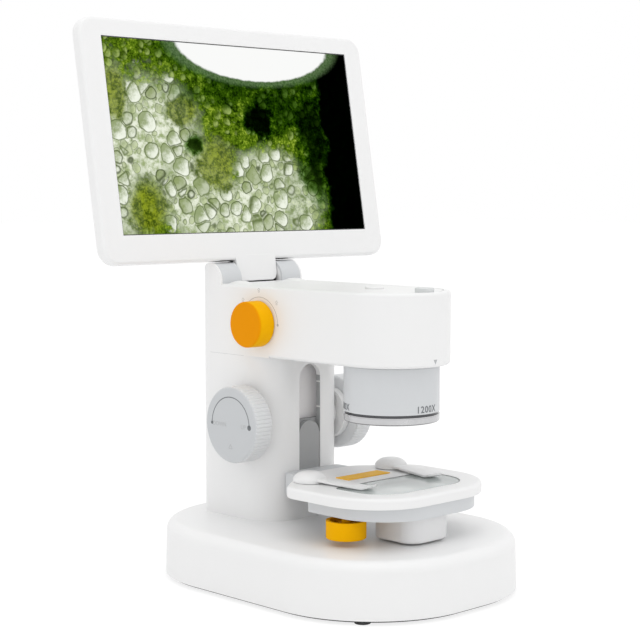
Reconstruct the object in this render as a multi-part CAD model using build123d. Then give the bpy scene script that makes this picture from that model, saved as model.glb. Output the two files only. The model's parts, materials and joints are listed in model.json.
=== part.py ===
from build123d import *
from math import acos, cos, degrees, pi, radians, sin, sqrt, tan
import os

# Desk microscope with a tilting screen on its head.
# Millimetres, +X to the user's right, -Y towards the user, +Z up.
# The origin is under the middle of the base, on the table.

# ---- base -------------------------------------------------------------------
base_half_width = 61.8
base_half_length = 82.4
base_corner_r = 52.0
foot_height = 2.0
foot_r = 3.5
foot_inset_x = 16.2
foot_inset_y = 21.7
base_screw_inset_x = 23.8
base_screw_inset_y = 34.4
foot_pocket = 0.7
base_shell_height = 24.4
base_draft_deg = 1.55
base_top_fillet = 5.0
base_wall = 2.5
base_plate_drop = 0.8
base_plate_thickness = 2.0
base_plate_inset = 1.4
ballast_screw_gap = 4.0
ballast_inset = 24.4
ballast_length = 64.0
ballast_thickness = 6.0
cell_r = 9.0
cell_screw_gap = 7.0
cell_pitch = 18.54
cell_wall = 1.2
cell_end_wall = 2.0
cell_inset = 54.4

# ---- column -----------------------------------------------------------------
column_half_width = 25.8
column_front = 18.25
column_back = 67.8
column_front_r = 17.0
column_back_r = 8.0
column_height = 76.4
column_wall = 2.4
column_floor = 3.0
slot_half_width = 6.77
slot_bottom_gap = 10.3
slot_top_gap = 4.4
back_cover_half_width = 18.0
back_cover_margin = 6.0
back_cover_thickness = 1.4
back_cover_ledge = 3.0
back_cover_r = 4.0
back_screw_inset = 4.0
back_screw_boss = 3.0
rod_bridge = 2.2
rod_seat_depth = 2.0
column_screw_x = 14.0
column_screw_ys = (25.0, 62.5)
slot_clearance = 0.3
cable_way_front = 46.0
cable_way_back = 57.0
cable_way_half_width = 10.0

# ---- rear ports
port_half_width = 4.5
port_half_height = 1.6
port_z = 54.0
card_half_width = 6.5
card_half_height = 1.2
card_z = 66.0
port_clearance = 0.1
board_stand_off = 2.4
power_board_half_width = 13.0
power_board_low = 10.0
power_board_high = 9.0
power_chip_side = 7.0
power_chip_height = 1.2
power_coil_r = 3.4
power_coil_height = 3.2
shaft_boss_r = 12.2
shaft_boss_height = 1.1

# ---- focus drive ------------------------------------------------------------
shaft_y = 31.3
shaft_z = 72.1
shaft_r = 3.0
run_gap = 0.05
seat_gap = 0.02
gear_module = 0.5
pinion_teeth = 20
pressure_deg = 20.0
tooth_backlash = 0.10
tooth_root_gap = 0.15
pinion_half_width = 3.5
rack_half_width = 3.0
rack_back_thickness = 2.3
rack_recess = 0.85
stage_travel = 22.0
knob_r = 17.62
knob_wall_gap = 1.5
knob_length = 10.36
knob_rib_count = 60
knob_rib_r = 0.45
bush_r = 6.0
bush_flange_r = 6.8
bush_flange = 1.6
rod_r = 2.0
guide_rod_x = 12.0
carriage_plate = 2.5
carriage_half_width = 16.0
carriage_rear_depth = 8.0
carriage_block_bottom = 34.0
carriage_block_height = 10.0
slider_half_width = 6.45
slider_recess = 0.35
slider_top = 71.8
slider_plate_rise = 0.6
liner_gap = 0.5
liner_thickness = 1.2
carriage_plate_half_width = 9.5
neck_rise = 3.0
bush_seat_inset = 5.0

# ---- head -------------------------------------------------------------------
head_height = 32.37
head_nose_y = -33.8
head_wall = 2.4
head_top_fillet = 1.4
head_bottom_fillet = 1.6
lower_cover_thickness = 2.0
panel_half_width = 22.4
panel_back = 47.0
panel_thickness = 1.2
panel_groove = 0.35
cap_x = 17.4
cap_y = 46.6
cap_r = 3.0
cap_height = 0.5
front_button_y = -53.0
rear_button_y = -23.2
button_r = 4.2
button_gap = 0.15
front_button_rise = 1.8
rear_button_rise = 0.9
button_travel = 0.8
button_flange_r = 5.3
button_flange = 1.2
button_seat_gap = 0.04
button_stem_r = 1.8
dish_y = -51.7
dish_r = 7.6
dish_depth = 0.6
selector_y = 24.4
selector_z = 118.2
selector_r = 10.5
selector_gap = 0.3
selector_depth = 8.8
selector_stem_r = 3.0
saddle_wall = 1.6
camera_tube_r = 6.5
camera_bore_r = 4.0
camera_flange_r = 8.2
camera_flange = 1.4
main_board_z = 107.0
sensor_board_z = 109.0
button_board_top = 127.4
switch_height = 1.3
switch_r = 2.2
main_board_half_width = 20.0
main_board_front = -16.0
main_board_back = 42.0
post_inset = 4.0
processor_side = 14.0
processor_y = 9.0
processor_height = 1.4
sink_overhang = 1.0
sink_plate = 2.0
sink_fin_height = 3.0
sink_fin_thickness = 1.4
sink_fin_count = 5
memory_width = 6.0
memory_length = 8.0
memory_height = 1.1
memory_y = -6.0
sensor_board_half_width = 12.0
sensor_board_half_length = 11.5
sensor_post_x = 9.0
sensor_post_y = 8.5
sensor_side = 10.0
sensor_height = 1.2
button_board_half_width = 7.0
button_board_margin = 3.0
board_post_x = 4.6
board_post_ys = (-42.0, -31.0)

# ---- turret -----------------------------------------------------------------
turret_r = 21.2
turret_wall = 2.0
turret_ledge = 2.0
turret_ledge_width = 3.0
turret_top_gap = 0.4
turret_body_height = 20.2
turret_band_height = 1.2
turret_band_inset = 0.7
turret_lip_height = 3.3
spigot_r = 15.0
spigot_wall = 3.5
spigot_length = 6.0
retainer_overhang = 2.2
retainer_thickness = 1.8
optical_y = -39.5
barrel_r = 4.4
barrel_lengths = (15.0, 11.0, 8.0)
barrel_recess = 0.5
objective_plate_thickness = 2.2
lens_r = 2.8
lens_thickness = 1.2

# ---- stage ------------------------------------------------------------------
stage_half_width = 42.2
stage_front = -65.9
stage_front_r = 29.0
stage_back = 9.0
stage_back_half_width = 17.0
stage_shoulder_y = -10.0
stage_shoulder_r = 12.0
stage_top = 49.9
stage_thickness = 4.8
stage_top_fillet = 1.6
glass_half_width = 29.8
glass_front = -56.8
glass_back = -27.0
glass_front_r = 16.0
glass_back_r = 4.0
glass_thickness = 2.0
glass_recess = 0.2
glass_ledge = 2.4
tray_half_width = 36.5
tray_front = -65.0
tray_back = -15.0
tray_front_r = 26.0
tray_back_r = 6.0
tray_height = 5.8
tray_wall = 2.0
label_x = 1.5
label_half_width = 13.4
label_front = -19.0
label_back = -10.8
label_thickness = 0.4
bracket_half_width = 17.0
bracket_gap = 0.35
bracket_drop = 0.6
lamp_x = -1.2
lamp_y = -46.9
lamp_half_width = 13.3
lamp_corner_r = 8.0
lamp_height = 12.0
lamp_wall = 1.8
diffuser_r = 5.0
diffuser_thickness = 1.2
light_panel_thickness = 1.0
wheel_x = -29.5
wheel_y = -35.0
wheel_r = 8.8
wheel_height = 7.9
wheel_drop = 2.1
wheel_wall = 1.6
wheel_floor = 2.2
wheel_stem_r = 2.0
clip_x = 26.2
clip_y = -9.0
clip_boss_r = 7.6
clip_height = 4.3
clip_float = 0.5
clip_tip_x = 20.5
clip_tip_y = -41.5
clip_arm_width = 8.0
clip_arm_thickness = 1.1
clip_pivot_r = 1.6
clip_cap = 0.9

# ---- screen and its hinge -----------------------------------------------------
hinge_y = 59.1
hinge_z = 136.5
screen_tilt_deg = 9.68
ear_r = 8.15
ear_front = 6.05
ear_front_r = 5.0
ear_inner_x = 13.0
ear_cover_thickness = 1.2
ear_cheek = 0.8
pin_r = 2.5
pin_half_length = 24.0
pocket_r = 6.4
barrel_half_width = 12.5
hinge_barrel_r = 4.2
barrel_grooves = 7
groove_pitch = 2.4
groove_width = 0.9
groove_depth = 0.5
screen_bottom_rise = 8.49
display_width = 153.6
display_height = 90.0
screen_side_margin = 12.0
screen_top_margin = 8.9
screen_bottom_margin = 13.4
screen_corner_r = 8.0
screen_front_offset = 5.12
screen_front_fillet = 1.6
bezel_depth = 2.5
bezel_lip = 0.6
bezel_border = 1.2
rim_depth = 6.0
screen_wall = 2.0
rear_wall = 1.5
bulge_depth = 7.0
bulge_side_margin = 18.8
bulge_bottom_margin = 13.36
bulge_top_margin = 28.94
bulge_corner_r = 6.0
bulge_taper_deg = 25.0
lcd_border_x = 5.7
lcd_border_z = 5.0
lcd_drop = 1.0
lcd_thickness = 2.5
neck_half_width = 12.5
neck_corner_r = 3.0
hinge_plate_thickness = 1.25
hinge_plate_half_width = 10.5
hinge_plate_top = 34.0
driver_board_back = 3.1
driver_board_half_width = 44.0
driver_board_rise = 13.3
driver_board_drop = 10.7
driver_post_inset = 6.0
driver_chip_side = 14.0
driver_chip_height = 1.3
connector_width = 20.0
connector_depth = 4.0
connector_height = 1.8
connector_rise = 8.0

# ---- shared small sizes ---------------------------------------------------------
board_thickness = 1.6
screw_r = 1.5
screw_head_r = 2.8
screw_head = 1.6
boss_r = 3.6
base_screw_length = 12.0
column_screw_length = 6.1

# ---- heights and places worked out from the sizes above -------------------------
foot_x = base_half_width - foot_inset_x
foot_y = base_half_length - foot_inset_y
ballast_front = ballast_inset - base_half_length
ballast_back = ballast_front + ballast_length
cell_front = base_half_length - cell_inset
base_screw_x = base_half_width - base_screw_inset_x
ballast_half_width = base_screw_x - ballast_screw_gap
cell_length = 2 * (base_screw_x - cell_screw_gap)
base_screw_y = base_half_length - base_screw_inset_y
base_top = foot_height + base_shell_height
plate_bottom = foot_height - base_plate_drop
plate_top = plate_bottom + base_plate_thickness
base_ceiling = base_top - base_wall
column_top = base_top + column_height
column_inner_x = column_half_width - column_wall
column_inner_front = column_front + column_wall
column_inner_back = column_back - column_wall
slot_bottom = base_top + slot_bottom_gap
slot_top = column_top - slot_top_gap
head_top = column_top + head_height
head_ceiling = head_top - head_wall
pitch_r = gear_module * pinion_teeth / 2
tooth_pitch = pi * gear_module
rack_pitch_y = shaft_y + pitch_r
rack_tip_y = rack_pitch_y - gear_module + seat_gap
rack_root_y = rack_pitch_y + gear_module + tooth_root_gap
rack_back_y = rack_root_y + rack_back_thickness
carriage_front_y = column_inner_front + slot_clearance
carriage_inner_y = carriage_front_y + carriage_plate
rear_plate_front = rack_root_y + rack_recess
rear_plate_back = rear_plate_front + carriage_rear_depth
rod_y = (rear_plate_front + rear_plate_back) / 2
rack_bottom = carriage_block_bottom + carriage_block_height
rack_top = shaft_z + pitch_r
stage_bottom = stage_top - stage_thickness
tray_bottom = stage_bottom - tray_height
tray_floor = tray_bottom + tray_wall
bracket_back = column_front - bracket_gap
bracket_top = stage_top - bracket_drop
turret_top = column_top - turret_top_gap
turret_body_bottom = turret_top - turret_body_height
turret_band_bottom = turret_body_bottom - turret_band_height
turret_bottom = turret_band_bottom - turret_lip_height
spigot_bottom = column_top - spigot_length
barrel_offset = head_nose_y - optical_y
screen_front = -screen_front_offset
bezel_back = screen_front + bezel_depth
rim_back = screen_front + rim_depth
bulge_back = rim_back + bulge_depth
display_above_hinge = screen_bottom_rise + screen_bottom_margin + display_height / 2
screen_half_width = display_width / 2 + screen_side_margin
screen_bottom = screen_bottom_rise
screen_top = display_above_hinge + display_height / 2 + screen_top_margin
bulge_half_width = screen_half_width - bulge_side_margin
bulge_bottom = screen_bottom + bulge_bottom_margin
bulge_top = screen_top - bulge_top_margin
lcd_width = display_width + 2 * lcd_border_x
lcd_height = display_height + 2 * lcd_border_z
lcd_front = screen_front + bezel_lip
lcd_back = lcd_front + lcd_thickness
wheel_top = tray_bottom - wheel_drop
bush_seat_x = column_inner_x - bush_seat_inset
knob_inner_x = column_half_width + knob_wall_gap
knob_outer_x = knob_inner_x + knob_length
back_cover_low = base_top + back_cover_margin
back_cover_high = column_top - back_cover_margin
neck_bottom = carriage_block_bottom + neck_rise
hinge_plate_front = lcd_back + run_gap
driver_board_low = bulge_bottom + driver_board_rise
driver_board_high = bulge_top - driver_board_drop
hinge_plate_back = hinge_plate_front + hinge_plate_thickness

# ---- fastening places ---------------------------------------------------------------
base_screw_points = [(sx * base_screw_x, sy * base_screw_y) for sx in (-1, 1) for sy in (-1, 1)]
column_screw_points = [(sx * column_screw_x, y) for sx in (-1, 1) for y in column_screw_ys]
foot_points = [(sx * foot_x, sy * foot_y) for sx in (-1, 1) for sy in (-1, 1)]
back_screw_points = [
    (sx * (back_cover_half_width - back_screw_inset), z)
    for sx in (-1, 1)
    for z in (back_cover_low + back_screw_inset, back_cover_high - back_screw_inset)
]
board_posts = [(sx * board_post_x, y) for sx in (-1, 1) for y in board_post_ys]
main_board_posts = [
    (sx * (main_board_half_width - post_inset), y)
    for sx in (-1, 1)
    for y in (main_board_front + post_inset, main_board_back - 2 * post_inset)
]
sensor_board_posts = [
    (sx * sensor_post_x, optical_y + sy * sensor_post_y) for sx in (-1, 1) for sy in (-1, 1)
]
clip_places = [(-clip_x, clip_y), (clip_x, clip_y)]
screen_board_posts = [
    (sx * (driver_board_half_width - driver_post_inset), z)
    for sx in (-1, 1)
    for z in (driver_board_low + driver_post_inset, driver_board_high - driver_post_inset)
]


# ---- plain shapes ----------------------------------------------------------------
def block(x0, x1, y0, y1, z0, z1):
    """Box between two corners."""
    return Pos((x0 + x1) / 2, (y0 + y1) / 2, (z0 + z1) / 2) * Box(x1 - x0, y1 - y0, z1 - z0)


def rod(x, y, z0, z1, r):
    """Upright cylinder."""
    return Pos(x, y, (z0 + z1) / 2) * Cylinder(r, z1 - z0)


def rod_x(x0, x1, y, z, r):
    """Cylinder along X."""
    return Pos((x0 + x1) / 2, y, z) * Rot(0, 90, 0) * Cylinder(r, x1 - x0)


def rod_y_axis(x, y0, y1, z, r):
    """Cylinder along Y."""
    return Pos(x, (y0 + y1) / 2, z) * Rot(90, 0, 0) * Cylinder(r, y1 - y0)


def tube(x, y, z0, z1, r, bore):
    return rod(x, y, z0, z1, r) - rod(x, y, z0, z1, bore)


def tube_x(x0, x1, y, z, r, bore):
    return rod_x(x0, x1, y, z, r) - rod_x(x0, x1, y, z, bore)


def slab(x0, x1, y0, y1, r, z0, z1, taper=0.0):
    """Upright slab with four round corners."""
    outline = Pos((x0 + x1) / 2, (y0 + y1) / 2, z0) * RectangleRounded(x1 - x0, y1 - y0, r)
    return extrude(outline, z1 - z0, taper=taper)


def slab_y(x0, x1, z0, z1, r, y0, y1, taper=0.0):
    """Slab that faces front and back, with four round corners."""
    outline = Pos((x0 + x1) / 2, y0, (z0 + z1) / 2) * Rot(-90, 0, 0) * RectangleRounded(x1 - x0, z1 - z0, r)
    return extrude(outline, y1 - y0, taper=taper)


def prism(points, z0, z1):
    """Upright prism on an outline of straight sides."""
    return extrude(Pos(0, 0, z0) * make_face(Polyline(*points, close=True)), z1 - z0)


def prism_x(points, x0, x1):
    """Prism along X on an outline given as (y, z) points."""
    return extrude(Plane.YZ.offset(x0) * make_face(Polyline(*points, close=True)), x1 - x0)


def both_sides(shape):
    """The shape and its mirror image across the middle plane."""
    return [shape, mirror(shape, Plane.YZ)]


def cable_way(z0, z1):
    """Opening for the wires between base, column and head."""
    w = cable_way_half_width
    return block(-w, w, cable_way_front, cable_way_back, z0, z1)


def upright_edges(shape, low_y, high_y):
    """Vertical edges between two Y values."""
    edges = shape.edges().filter_by(Axis.Z)
    return [e for e in edges if low_y < e.center().Y < high_y]


def screw_up(x, y, z, length):
    """Pan-head screw that goes in from below, its head under z."""
    return rod(x, y, z - screw_head, z, screw_head_r) + rod(x, y, z, z + length, screw_r)


# ---- base --------------------------------------------------------------------------
def base_outline(inset, z0, z1, taper=0.0):
    half_w = base_half_width - inset
    half_l = base_half_length - inset
    return slab(-half_w, half_w, -half_l, half_l, base_corner_r - inset, z0, z1, taper)


def base_shell():
    shell = base_outline(0, foot_height, base_top, base_draft_deg)
    top_edges = shell.edges().group_by(Axis.Z)[-1]
    shell = fillet(top_edges, base_top_fillet)
    shell -= base_outline(base_wall, foot_height, base_ceiling, base_draft_deg)
    for x, y in base_screw_points:
        shell += rod(x, y, plate_top, base_ceiling, boss_r)
        shell -= rod(x, y, plate_top, base_ceiling, screw_r + seat_gap)
    for x, y in column_screw_points:
        shell -= rod(x, y, base_ceiling, base_top, screw_r + seat_gap)
    shell -= cable_way(base_ceiling, base_top)
    shell -= base_outline(base_plate_inset - seat_gap, foot_height, plate_top)
    return shell


def base_plate():
    plate = base_outline(base_plate_inset, plate_bottom, plate_top)
    for x, y in foot_points:
        plate -= rod(x, y, plate_bottom, plate_bottom + foot_pocket, foot_r + seat_gap)
    for x, y in base_screw_points:
        plate -= rod(x, y, plate_bottom, plate_top, screw_head_r + seat_gap)
        seat = tube(x, y, plate_bottom + screw_head, plate_top, screw_head_r + seat_gap, screw_r + seat_gap)
        plate += seat
    return plate


def ballast_plate():
    w = ballast_half_width
    plate = slab(-w, w, ballast_front, ballast_back, 6, plate_top, plate_top + ballast_thickness)
    return fillet(plate.edges().group_by(Axis.Z)[-1], 0.8)


def rubber_feet():
    feet = []
    for x, y in foot_points:
        foot = rod(x, y, 0, plate_bottom + foot_pocket, foot_r)
        feet.append(fillet(foot.edges().group_by(Axis.Z)[0], 0.4))
    return feet


def battery_pack():
    """Two cells side by side in an open holder."""
    t = cell_wall
    z = plate_top + t + cell_r
    half = cell_length / 2
    cells = [rod_x(-half, half, cell_front + cell_r + cell_pitch * i, z, cell_r) for i in range(2)]
    y0 = cell_front - t
    y1 = cell_front + cell_pitch + 2 * cell_r + t
    ends = half + cell_end_wall
    holder = block(-ends, ends, y0, y1, plate_top, z)
    holder -= block(-half, half, y0 + t, y1 - t, plate_top + t, z)
    return cells + [holder]


# ---- column --------------------------------------------------------------------------
def column_block(inset, z0, z1):
    x = column_half_width - inset
    shape = block(-x, x, column_front + inset, column_back - inset, z0, z1)
    shape = fillet(upright_edges(shape, column_front - 1, shaft_y), column_front_r - inset)
    return fillet(upright_edges(shape, shaft_y, column_back + 1), column_back_r - inset)


def slot_cut(y0, y1):
    """The stage's upright slot, round at its top."""
    w = slot_half_width
    return block(-w, w, y0, y1, slot_bottom, slot_top - w) + rod_y_axis(0, y0, y1, slot_top - w, w)


def back_opening(grow, y0, y1):
    """Opening or plate of the column's rear door."""
    w = back_cover_half_width + grow
    return slab_y(-w, w, back_cover_low - grow, back_cover_high + grow, back_cover_r + grow, y0, y1)


def column_shell():
    shell = column_block(0, base_top, column_top)
    reach = column_half_width + shaft_boss_height
    for x0, x1 in ((-reach, -column_inner_x), (column_inner_x, reach)):
        shell += rod_x(x0, x1, shaft_y, shaft_z, shaft_boss_r)
    shell -= column_block(column_wall, base_top + column_floor, column_top)
    for x0, x1 in ((-column_inner_x, -bush_seat_x), (bush_seat_x, column_inner_x)):
        shell += rod_x(x0, x1, shaft_y, shaft_z, bush_flange_r)
    shell -= rod_x(-reach, reach, shaft_y, shaft_z, bush_r + seat_gap)
    shell -= slot_cut(column_front, column_inner_front)
    shell -= back_opening(-back_cover_ledge, column_inner_back, column_back)
    shell -= back_opening(0, column_back - back_cover_thickness, column_back)
    boss_front = column_inner_back - back_screw_boss
    boss_back = column_back - back_cover_thickness
    for x, z in back_screw_points:
        shell += rod_y_axis(x, boss_front, boss_back, z, boss_r)
        shell -= rod_y_axis(x, boss_front, boss_back, z, screw_r + seat_gap)
    shell -= cable_way(base_top, base_top + column_floor)
    for x, y in column_screw_points:
        shell -= rod(x, y, base_top, base_top + column_floor, screw_r + seat_gap)
    bridge_low = column_top - rod_bridge
    wide = column_inner_x
    shell += block(-wide, wide, rear_plate_front, rear_plate_back, bridge_low, column_top)
    rod_low = base_top + column_floor - rod_seat_depth
    for x in (-guide_rod_x, guide_rod_x):
        shell -= rod(x, rod_y, rod_low, column_top, rod_r + seat_gap)
    return shell


def column_back_cover():
    """Rear door with openings for the two ports."""
    y0 = column_back - back_cover_thickness
    cover = back_opening(-panel_groove, y0, column_back)
    cover -= port_outline(port_clearance, y0, column_back)
    cover -= card_outline(port_clearance, y0, column_back)
    for x, z in back_screw_points:
        cover -= rod_y_axis(x, y0, column_back, z, screw_r + seat_gap)
        cover -= rod_y_axis(x, column_back - screw_head / 2, column_back, z, screw_head_r + seat_gap)
    return cover


def housing_screws():
    """Screws of the base plate, the column's foot and the rear door."""
    screws = [screw_up(x, y, plate_bottom + screw_head, base_screw_length) for x, y in base_screw_points]
    screws += [screw_up(x, y, base_ceiling, column_screw_length) for x, y in column_screw_points]
    seat = column_back - screw_head / 2
    tip = column_inner_back - back_screw_boss + 0.5
    for x, z in back_screw_points:
        head = rod_y_axis(x, seat, column_back + screw_head / 2, z, screw_head_r)
        screws.append(head + rod_y_axis(x, tip, seat, z, screw_r))
    return screws


def slot_liner():
    """Plate behind the slot that hides the drive above the stage."""
    y0 = carriage_inner_y + liner_gap
    low = carriage_block_bottom + carriage_block_height + stage_travel + 1.0
    x = carriage_plate_half_width + liner_gap
    plate = block(-x - 2, x + 2, y0, y0 + liner_thickness, low, column_top - 1.5)
    for side in both_sides(block(x, x + 2, column_inner_front, y0, low, column_top - 1.5)):
        plate += side
    return plate & column_block(column_wall + seat_gap, base_top, column_top)


def guide_rods():
    low = base_top + column_floor - rod_seat_depth
    return both_sides(rod(guide_rod_x, rod_y, low, column_top, rod_r))


def power_board():
    y1 = column_inner_back - board_stand_off
    y0 = y1 - board_thickness
    w = power_board_half_width
    low = port_z - power_board_low
    high = card_z + power_board_high
    board = block(-w, w, y0, y1, low, high)
    side = power_chip_side
    chip = block(4 - w, 4 - w + side, y0 - power_chip_height, y0, low + 4, low + 4 + side)
    coil = rod_y_axis(w - 8, y0 - power_coil_height, y0, low + side, power_coil_r)
    door = column_back - back_cover_thickness
    feet = [rod_y_axis(x, y1, door, z, 2.2) for x in (3 - w, w - 3) for z in (low + 3, high - 3)]
    return [board, chip, coil] + feet


def port_outline(grow, y0, y1):
    w = port_half_width + grow
    h = port_half_height + grow
    return slab_y(-w, w, port_z - h, port_z + h, h - seat_gap, y0, y1)


def card_outline(grow, y0, y1):
    w = card_half_width + grow
    h = card_half_height + grow
    return block(-w, w, y0, y1, card_z - h, card_z + h)


def rear_ports():
    """Power socket with its tongue, and the memory card slot."""
    y0 = column_inner_back - board_stand_off
    y1 = column_back - 0.3
    port = port_outline(0, y0, y1) - port_outline(-0.4, y0 + 1, y1)
    tongue_w = port_half_width - 1.1
    port += block(-tongue_w, tongue_w, y0 + 0.5, y1 - 0.8, port_z - 0.35, port_z + 0.35)
    card = card_outline(0, y0, y1) - card_outline(-0.7, y0 + 1, y1)
    return [port, card]


def shaft_bushes():
    """Flanged bearings in the column's two side walls."""
    outer = column_half_width + shaft_boss_height
    bore = shaft_r + run_gap
    bush = tube_x(bush_seat_x, outer, shaft_y, shaft_z, bush_r, bore)
    bush += tube_x(bush_seat_x - bush_flange, bush_seat_x, shaft_y, shaft_z, bush_flange_r, bore)
    return both_sides(bush)


# ---- head ------------------------------------------------------------------------------
def arm_outline(inset, z0, z1, back):
    """Plan of the head: straight sides and a half-round nose."""
    x = column_half_width - inset
    return block(-x, x, head_nose_y, back - inset, z0, z1) + rod(0, head_nose_y, z0, z1, x)


def head_block(inset, z0, z1):
    shape = arm_outline(inset, z0, z1, column_back)
    return fillet(upright_edges(shape, shaft_y, column_back + 1), column_back_r - inset)


def ear(x0, x1, grow=0.0):
    """Hinge ear within the head's plan, with a round front corner and a back round about the hinge."""
    r = ear_r + grow
    y0 = hinge_y - ear_front - grow
    front = block(x0, x1, y0, hinge_y, head_ceiling, hinge_z + r)
    corner = front.edges().filter_by(Axis.X).group_by(Axis.Z)[-1].sort_by(Axis.Y)[0]
    shape = fillet(corner, ear_front_r + grow) + rod_x(x0, x1, hinge_y, hinge_z, r)
    shape += block(x0, x1, hinge_y, hinge_y + r, head_ceiling, hinge_z)
    return shape & head_block(0, head_ceiling, hinge_z + r + 1)


def panel_outline(grow, z0, z1):
    x = panel_half_width + grow
    return block(-x, x, head_nose_y, panel_back + grow, z0, z1) + rod(0, head_nose_y, z0, z1, x)


def head_outside():
    """The overhanging nose, rounded below, and the block over the column."""
    nose = arm_outline(0, column_top, head_top, column_front + column_front_r)
    bottom = nose.edges().group_by(Axis.Z)[0]
    nose = fillet([e for e in bottom if e.center().Y < column_front], head_bottom_fillet)
    rear = head_block(0, column_top, head_top)
    rear -= arm_outline(-1, column_top, head_top, column_front - 1)
    shell = nose + rear
    return fillet(shell.edges().group_by(Axis.Z)[-1], head_top_fillet)


def head_shell():
    shell = head_outside() - head_block(head_wall, column_top, head_ceiling)
    saddle_x = ear_inner_x + 2
    saddle_low = hinge_z - pocket_r - saddle_wall
    shell += block(-saddle_x, saddle_x, hinge_y - pocket_r - 1.5, column_inner_back, saddle_low, head_ceiling)
    for side in both_sides(ear(ear_inner_x, column_half_width)):
        shell += side
    for side in both_sides(ear_wrap(seat_gap)):
        shell -= side
    shell -= rod_x(-ear_inner_x, ear_inner_x, hinge_y, hinge_z, pocket_r)
    shell -= rod_x(-pin_half_length, pin_half_length, hinge_y, hinge_z, pin_r + seat_gap)
    shell -= panel_outline(panel_groove, head_top - panel_thickness, head_top)
    for y in (front_button_y, rear_button_y):
        shell -= rod(0, y, head_ceiling, head_top, button_r + button_gap)
    shell -= rod(0, front_button_y, column_top + 4, head_ceiling, button_flange_r + button_gap)
    shell -= rod_x(-column_half_width, -column_inner_x, selector_y, selector_z, selector_stem_r + 0.3)
    for x, y in board_posts:
        shell += rod(x, y, button_board_top, head_ceiling, 1.8)
    return shell


def ear_wrap(grow):
    """Cover strip round an ear's front, top and back."""
    x0 = ear_inner_x - grow
    x1 = column_half_width - ear_cheek + grow
    strip = ear(x0, x1, grow) - ear(x0, x1, -ear_cover_thickness - grow)
    return strip - block(x0, x1, 0, column_back, 0, head_top + seat_gap - grow)


def ear_covers():
    return both_sides(ear_wrap(0))


def head_lower_cover():
    """Floor of the head with the turret's spigot and the board posts."""
    gap = head_wall + seat_gap
    z1 = column_top + lower_cover_thickness
    cover = head_block(gap, column_top, z1)
    cover += rod(0, head_nose_y, spigot_bottom, column_top, spigot_r)
    cover -= rod(0, head_nose_y, spigot_bottom, column_top, spigot_r - spigot_wall)
    cover -= rod(0, optical_y, column_top, z1, camera_tube_r + seat_gap)
    cover -= cable_way(column_top, z1)
    for x, y in main_board_posts:
        cover += rod(x, y, z1, main_board_z, 2.4)
    for x, y in sensor_board_posts:
        cover += rod(x, y, z1, sensor_board_z, 1.8)
    return cover


def head_top_panel():
    """Inset top panel with a finger dish, and the caps over its two screws."""
    dish_sphere_r = (dish_r * dish_r + dish_depth * dish_depth) / (2 * dish_depth)
    panel = panel_outline(0, head_top - panel_thickness, head_top)
    panel -= Pos(0, dish_y, head_top + dish_sphere_r - dish_depth) * Sphere(dish_sphere_r)
    for y in (front_button_y, rear_button_y):
        panel -= rod(0, y, head_top - panel_thickness, head_top, button_r + button_gap)
    cap = rod(cap_x, cap_y, head_top, head_top + cap_height, cap_r)
    cap = fillet(cap.edges().group_by(Axis.Z)[-1], cap_height * 0.8)
    return [panel] + both_sides(cap)


def hinge_pin():
    return rod_x(-pin_half_length, pin_half_length, hinge_y, hinge_z, pin_r)


def main_board():
    z1 = main_board_z + board_thickness
    w = main_board_half_width
    board = block(-w, w, main_board_front, main_board_back, main_board_z, z1)
    half = processor_side / 2
    low = z1 + processor_height
    processor = block(-half, half, processor_y - half, processor_y + half, z1, low)
    side = half + sink_overhang
    front, back = processor_y - side, processor_y + side
    fin_low = low + sink_plate
    sink = block(-side, side, front, back, low, fin_low)
    step = (2 * side - sink_fin_thickness) / (sink_fin_count - 1)
    for i in range(sink_fin_count):
        x = -side + i * step
        sink += block(x, x + sink_fin_thickness, front, back, fin_low, fin_low + sink_fin_height)
    y0 = memory_y - memory_length / 2
    y1 = memory_y + memory_length / 2
    starts = (-1.5 * memory_width, 0.5 * memory_width)
    memory = [block(x, x + memory_width, y0, y1, z1, z1 + memory_height) for x in starts]
    return [board, processor, sink] + memory


def sensor_board():
    z1 = sensor_board_z + board_thickness
    w = sensor_board_half_width
    front = optical_y - sensor_board_half_length
    back = optical_y + sensor_board_half_length
    board = block(-w, w, front, back, sensor_board_z, z1)
    half = sensor_side / 2
    chip_low = sensor_board_z - sensor_height
    chip = block(-half, half, optical_y - half, optical_y + half, chip_low, sensor_board_z)
    return [board, chip]


def camera_tube():
    z1 = sensor_board_z - sensor_height
    low = column_top + lower_cover_thickness
    shape = tube(0, optical_y, column_top, z1, camera_tube_r, camera_bore_r)
    return shape + tube(0, optical_y, low, low + camera_flange, camera_flange_r, camera_bore_r)


def selector_switch():
    """Rotary switch on the inside of the left wall."""
    x0 = -column_inner_x
    body = block(x0, x0 + 8.5, selector_y - 7, selector_y + 7, selector_z - 7, selector_z + 7)
    return body - rod_x(x0, x0 + 6, selector_y, selector_z, selector_stem_r + run_gap)


def selector_knob():
    outer = -column_half_width - selector_gap - selector_depth
    inner = -column_half_width - selector_gap
    knob = rod_x(outer, inner, selector_y, selector_z, selector_r)
    knob = fillet(knob.edges().group_by(Axis.X)[0], 0.9)
    return knob + rod_x(inner, -column_inner_x + 5.7, selector_y, selector_z, selector_stem_r)


def button_board():
    z0 = button_board_top - board_thickness
    w = button_board_half_width
    front = front_button_y - button_board_margin
    back = rear_button_y + button_board_margin
    board = block(-w, w, front, back, z0, button_board_top)
    z1 = button_board_top + switch_height
    switches = [rod(0, y, button_board_top, z1, switch_r) for y in (front_button_y, rear_button_y)]
    return [board] + switches


def push_button(y, rise):
    flange_top = head_ceiling - button_seat_gap
    flange_low = flange_top - button_flange
    cap = rod(0, y, flange_top, head_top + rise, button_r)
    cap = fillet(cap.edges().group_by(Axis.Z)[-1], 0.5)
    stem_low = button_board_top + switch_height + button_travel + 0.1
    return cap + rod(0, y, flange_low, flange_top, button_flange_r) + rod(0, y, stem_low, flange_low, button_stem_r)


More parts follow.
